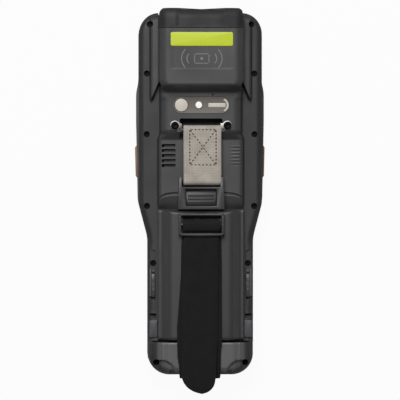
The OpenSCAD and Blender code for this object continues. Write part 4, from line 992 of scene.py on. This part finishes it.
# name, x, radius, low, high, finish
DISCS = [("lens_ring", -11.1, 3.9, 26.12, 26.2, "black_plastic"),
         ("lens_disc", -11.1, 3.55, 26.14, 26.24, "lens_pale"),
         ("flash_ring", -1.3, 2.2, 26.12, 26.2, "camera_barrel"),
         ("flash_disc", -1.3, 1.8, 26.14, 26.24, "flash_white")]
for name, px, radius, low, high, slot in DISCS:
    top = soft_top(low, high, 0.05)
    dress(slab(name, px, WINDOW_Y, 2 * radius, 2 * radius, radius, top, 12), slot)
bar_lamp = slab("aiming_bar", 8.9, WINDOW_Y, 9.6, 2.2, 0.4, soft_top(26.1, 26.22, 0.05))
dress(bar_lamp, "lens_pale")
# a painted glint: a crescent of pale lens material along the round right end of the window, where a
# reflection lies
a = np.radians(np.linspace(-58, 58, 24))
outer = np.column_stack([11.2 + 4.1 * np.cos(a), WINDOW_Y + 4.1 * np.sin(a)])
inner = np.column_stack([10.0 + 4.35 * np.cos(a), WINDOW_Y + 3.5 * np.sin(a)])
moon = np.concatenate([outer, inner[::-1]])
dress(prisms("window_glint", [(moon, 26.1, 26.2)]), "lens_pale")

# %% [markdown]
# ## Strap frame
#
# The strap turns round the inner bar of a small frame on the cover. The frame has two rails, a top
# bar, the round inner bar and a lower bar over the strap, which is bowed towards the heel.

# %% Bars of the strap frame
def cross_bar(name, half, lower, upper, z, radius, bow=0.0, corner=0.0):
    """Bar along X between lower and upper y and a (low, high) z, rounded by radius all over.

    The lower edge is bow mm fuller in the middle and rises by corner mm at both tips.
    """
    t = np.radians(np.linspace(90, 0, 5))
    inset = np.concatenate([radius * (1 - np.cos(t)), np.zeros(17), radius * (1 - np.cos(t[::-1]))])
    run = half - radius * (1 - np.sin(t))
    along = np.concatenate([-run, np.linspace(-half + radius, half - radius, 19)[1:-1], run[::-1]])
    grid = []
    for x, i in zip(along, inset):
        edge = lower - bow * (1 - (x / half) ** 2) + corner * ease((abs(x) - half + 1.8) / 1.8)
        box = round_box((edge + upper) / 2, (z[0] + z[1]) / 2, upper - edge - 2 * i,
                        z[1] - z[0] - 2 * i, max(radius - i, 0.04), 4)
        grid.append(np.column_stack([np.full(len(box), x), box]))
    return rings(name, np.array(grid))


def joined(name, pieces):
    """One object from several: their shells stay whole in one mesh."""
    work = bmesh.new()
    for piece in pieces:
        work.from_mesh(piece.data)
        bpy.data.objects.remove(piece)
    mesh = bpy.data.meshes.new(name)
    work.to_mesh(mesh)
    work.free()
    return put(name, mesh)


bars = [slab("rail", x, -18.2, 1.5, 11.8, 0.5, soft_top(27.3, 31.2, 0.4)) for x in (-11.95, 11.95)]
bars.append(cross_bar("top_bar", 12.7, -13.5, -12.3, (27.3, 31.2), 0.4))
bars.append(cross_bar("inner_bar", 12.5, -19.25, -17.55, (29.35, 31.05), 0.84))
bars.append(cross_bar("lower_bar", 12.7, -24.5, -23.2, (31.1, 32.6), 0.5, 0.45, 0.6))
dress(joined("strap_frame_bars", bars), "buckle_plastic", "battery_cover", ["strap_frame"])

# %% [markdown]
# ## Antenna sign
#
# A generic drawing printed on the hump shows where a card is held: a card outline, a dot in it and
# two waves on each side. It is made of thin strokes raised by a tenth of a millimetre.

# %% Strokes of the sign
def stroke(points, width):
    """Outline of a line of even width along points, as one closed loop."""
    d = np.gradient(points, axis=0)
    n = np.column_stack([-d[:, 1], d[:, 0]]) / np.hypot(*d.T)[:, None] * width / 2
    return np.concatenate([points + n, (points - n)[::-1]])


SIGN_Y = 74.1
INK_FOOT, INK_TOP = 35.7, 35.82
marks = [(disc(0, SIGN_Y, 0.75, 20), INK_FOOT, 35.84)]
a = np.radians(np.linspace(-46, 46, 16))
for side in (-1, 1):
    for middle, radius in ((4.2, 7.1), (4.7, 3.6)):
        wave = np.column_stack([side * (middle + radius * np.cos(a)), SIGN_Y + radius * np.sin(a)])
        marks.append((stroke(wave, 0.42), INK_FOOT, INK_TOP))
# the four sides of the card stop short of each other, so that no two strokes touch
CARD = [(71.5, 71.5, -3.6, 3.6), (76.7, 76.7, -3.6, 3.6),
        (71.9, 76.3, -4.0, -4.0), (71.9, 76.3, 4.0, 4.0)]
for y0, y1, x0, x1 in CARD:
    line = np.column_stack([np.linspace(x0, x1, 3), np.linspace(y0, y1, 3)])
    marks.append((stroke(line, 0.4), INK_FOOT, INK_TOP))
dress(prisms("antenna_sign", marks), "sign_print")

# %% [markdown]
# ## Grip catches
#
# A pistol grip clicks on to the handle. Each side has a block near the heel, a lip along the pocket
# of the catch and three small nubs inside it.

# %% Blocks, lips and nubs
for side, word in ((-1, "left"), (1, "right")):
    block = slab(f"prong_block_{word}", side * 26.5, -76.8, 4.6, 9.6, 0.5,
                 soft_top(17.6, 19.35, 0.4))
    dress(block, "prong_grey")
    lip = slab(f"grip_lip_{word}", side * 28.1, -50.9, 1.2, 15.6, 0.55, soft_top(16.8, 18.7, 0.3))
    dress(lip, "prong_grey")
    for k, (place, long) in enumerate(((-44.4, 1.6), (-49.3, 2.6), (-55.0, 1.4))):
        nub = slab(f"grip_nub_{word}_{k + 1}", side * 26.5, place, 1.5, long, 0.4,
                   soft_top(17.2, 18.3, 0.25))
        dress(nub, "prong_grey")

# %% [markdown]
# ## Softened hard parts
#
# The remaining parts keep their exact shape, but a moulded or machined edge is never razor sharp.
# Each is a copy of the solid: doubles merged, flat neighbours dissolved, then a bevel on the edges
# that turn by more than 30 degrees.

# %% Copies with rounded edges
def softened(node, slot, radius, body="root", steps=2):
    """Copy a rigid part, round its edges by radius mm and let the copy stand for it."""
    mesh = nodes[node].data.copy()
    mesh.transform(nodes[node].matrix_world)
    work = bmesh.new()
    work.from_mesh(mesh)
    bmesh.ops.remove_doubles(work, verts=work.verts, dist=2e-6)
    bmesh.ops.dissolve_limit(work, angle_limit=math.radians(1), verts=work.verts, edges=work.edges)
    work.to_mesh(mesh)
    work.free()
    piece = put(node + "_soft", mesh)
    change = piece.modifiers.new("round", "BEVEL")
    change.width, change.segments, change.limit_method = radius * MM, steps, "ANGLE"
    change.angle_limit = math.radians(30)
    graph = bpy.context.evaluated_depsgraph_get()
    rounded = bpy.data.meshes.new_from_object(piece.evaluated_get(graph))
    piece.modifiers.clear()
    piece.data = rounded
    shade(rounded, 50)
    return dress(piece, slot, body, [node])


softened("front_case", "front_shell", 0.35)
softened("clasp_frame", "buckle_plastic", 0.25)
softened("release_pad", "pad_dark", 0.2, "release_pad")
softened("battery_pack", "battery_wrap", 1.85, steps=4)
softened("strap_bar", "bar_steel", 0.12)
softened("bar_screws", "screw_steel", 0.15)
softened("side_catches", "catch_plastic", 0.2)
softened("socket_flap", "silicone", 0.3, "socket_flap")
for side in ("left", "right"):
    softened("trigger_" + side, "trigger_plastic", 0.5, "trigger_" + side, 3)
softened("scan_key", "scan_key_rubber", 0.45, "scan_key", 3)
for k in range(1, 5):
    softened(f"function_key_{k}", "function_key_rubber", 0.4, f"function_key_{k}", 3)
for k in range(1, 13):
    softened(f"number_key_{k}", "number_key_rubber", 0.4, f"number_key_{k}", 3)

# %% [markdown]
# ## Stitching on the tab
#
# The grey tab is closed with a box of lockstitches and a cross inside it, the usual way to hold a
# load on webbing. Each stitch is a short thread sunk a little at both ends, so it is a thin
# spindle: radius r sqrt(1 - t^2) along its length, lying on the surface of the tab.

# %% Stitches
def tab_top(y):
    """Height of the tab's upper face between the strap bar and the clasp."""
    return np.interp(y, [6.1, 34.6], [27.98, 27.2])


def seam_line(start, end, pitch=1.9, long=1.3, radius=0.3):
    """Spindles of given length at an even pitch from start to end, (x, y) pairs in mm."""
    start, end = np.array(start, float), np.array(end, float)
    count = max(int(np.hypot(*(end - start)) / pitch), 1)
    forward = (end - start) / np.hypot(*(end - start))
    sideways = np.array([-forward[1], forward[0]])
    t = np.sin(np.radians(np.linspace(-85, 85, 7)))
    a = np.radians(np.arange(0, 360, 60))
    found = []
    for k in range(count):
        middle = start + (end - start) * (k + 0.5) / count
        ring = []
        for s in t:
            r = radius * math.sqrt(1 - s * s)
            at = middle + forward * s * long / 2
            flat = at + np.outer(np.cos(a) * r, sideways)
            ring.append(np.column_stack([flat, tab_top(flat[:, 1]) + 0.02 + np.sin(a) * r]))
        found.append(np.array(ring))
    return found


LEFT, RIGHT, NEAR, FAR = -6.4, 8.3, 15.0, 34.7
SEAMS = [((LEFT, NEAR), (RIGHT, NEAR)), ((LEFT, FAR), (RIGHT, FAR)), ((LEFT, NEAR), (LEFT, FAR)),
         ((RIGHT, NEAR), (RIGHT, FAR)), ((LEFT, NEAR), (RIGHT, FAR)), ((LEFT, FAR), (RIGHT, NEAR))]
spindles = [ring for start, end in SEAMS for ring in seam_line(start, end)]
points, faces = [], []
for ring in spindles:
    n, m = ring.shape[:2]
    base = len(points)
    points += ring.reshape(-1, 3).tolist()
    faces += (lattice(n, m, True) + base).tolist()
    faces += [[base + j for j in range(m)][::-1], [base + (n - 1) * m + j for j in range(m)]]
dress(build("tab_stitches", points, faces), "thread")
print(len(spindles), "stitches")

# %% Give every rigid part its finish
for name, part in nodes.items():
    for place, kept in enumerate(part.data.materials):
        part.data.materials[place] = finishes[kept.name.split(".")[0]]
print(len(nodes), "parts have finishes")
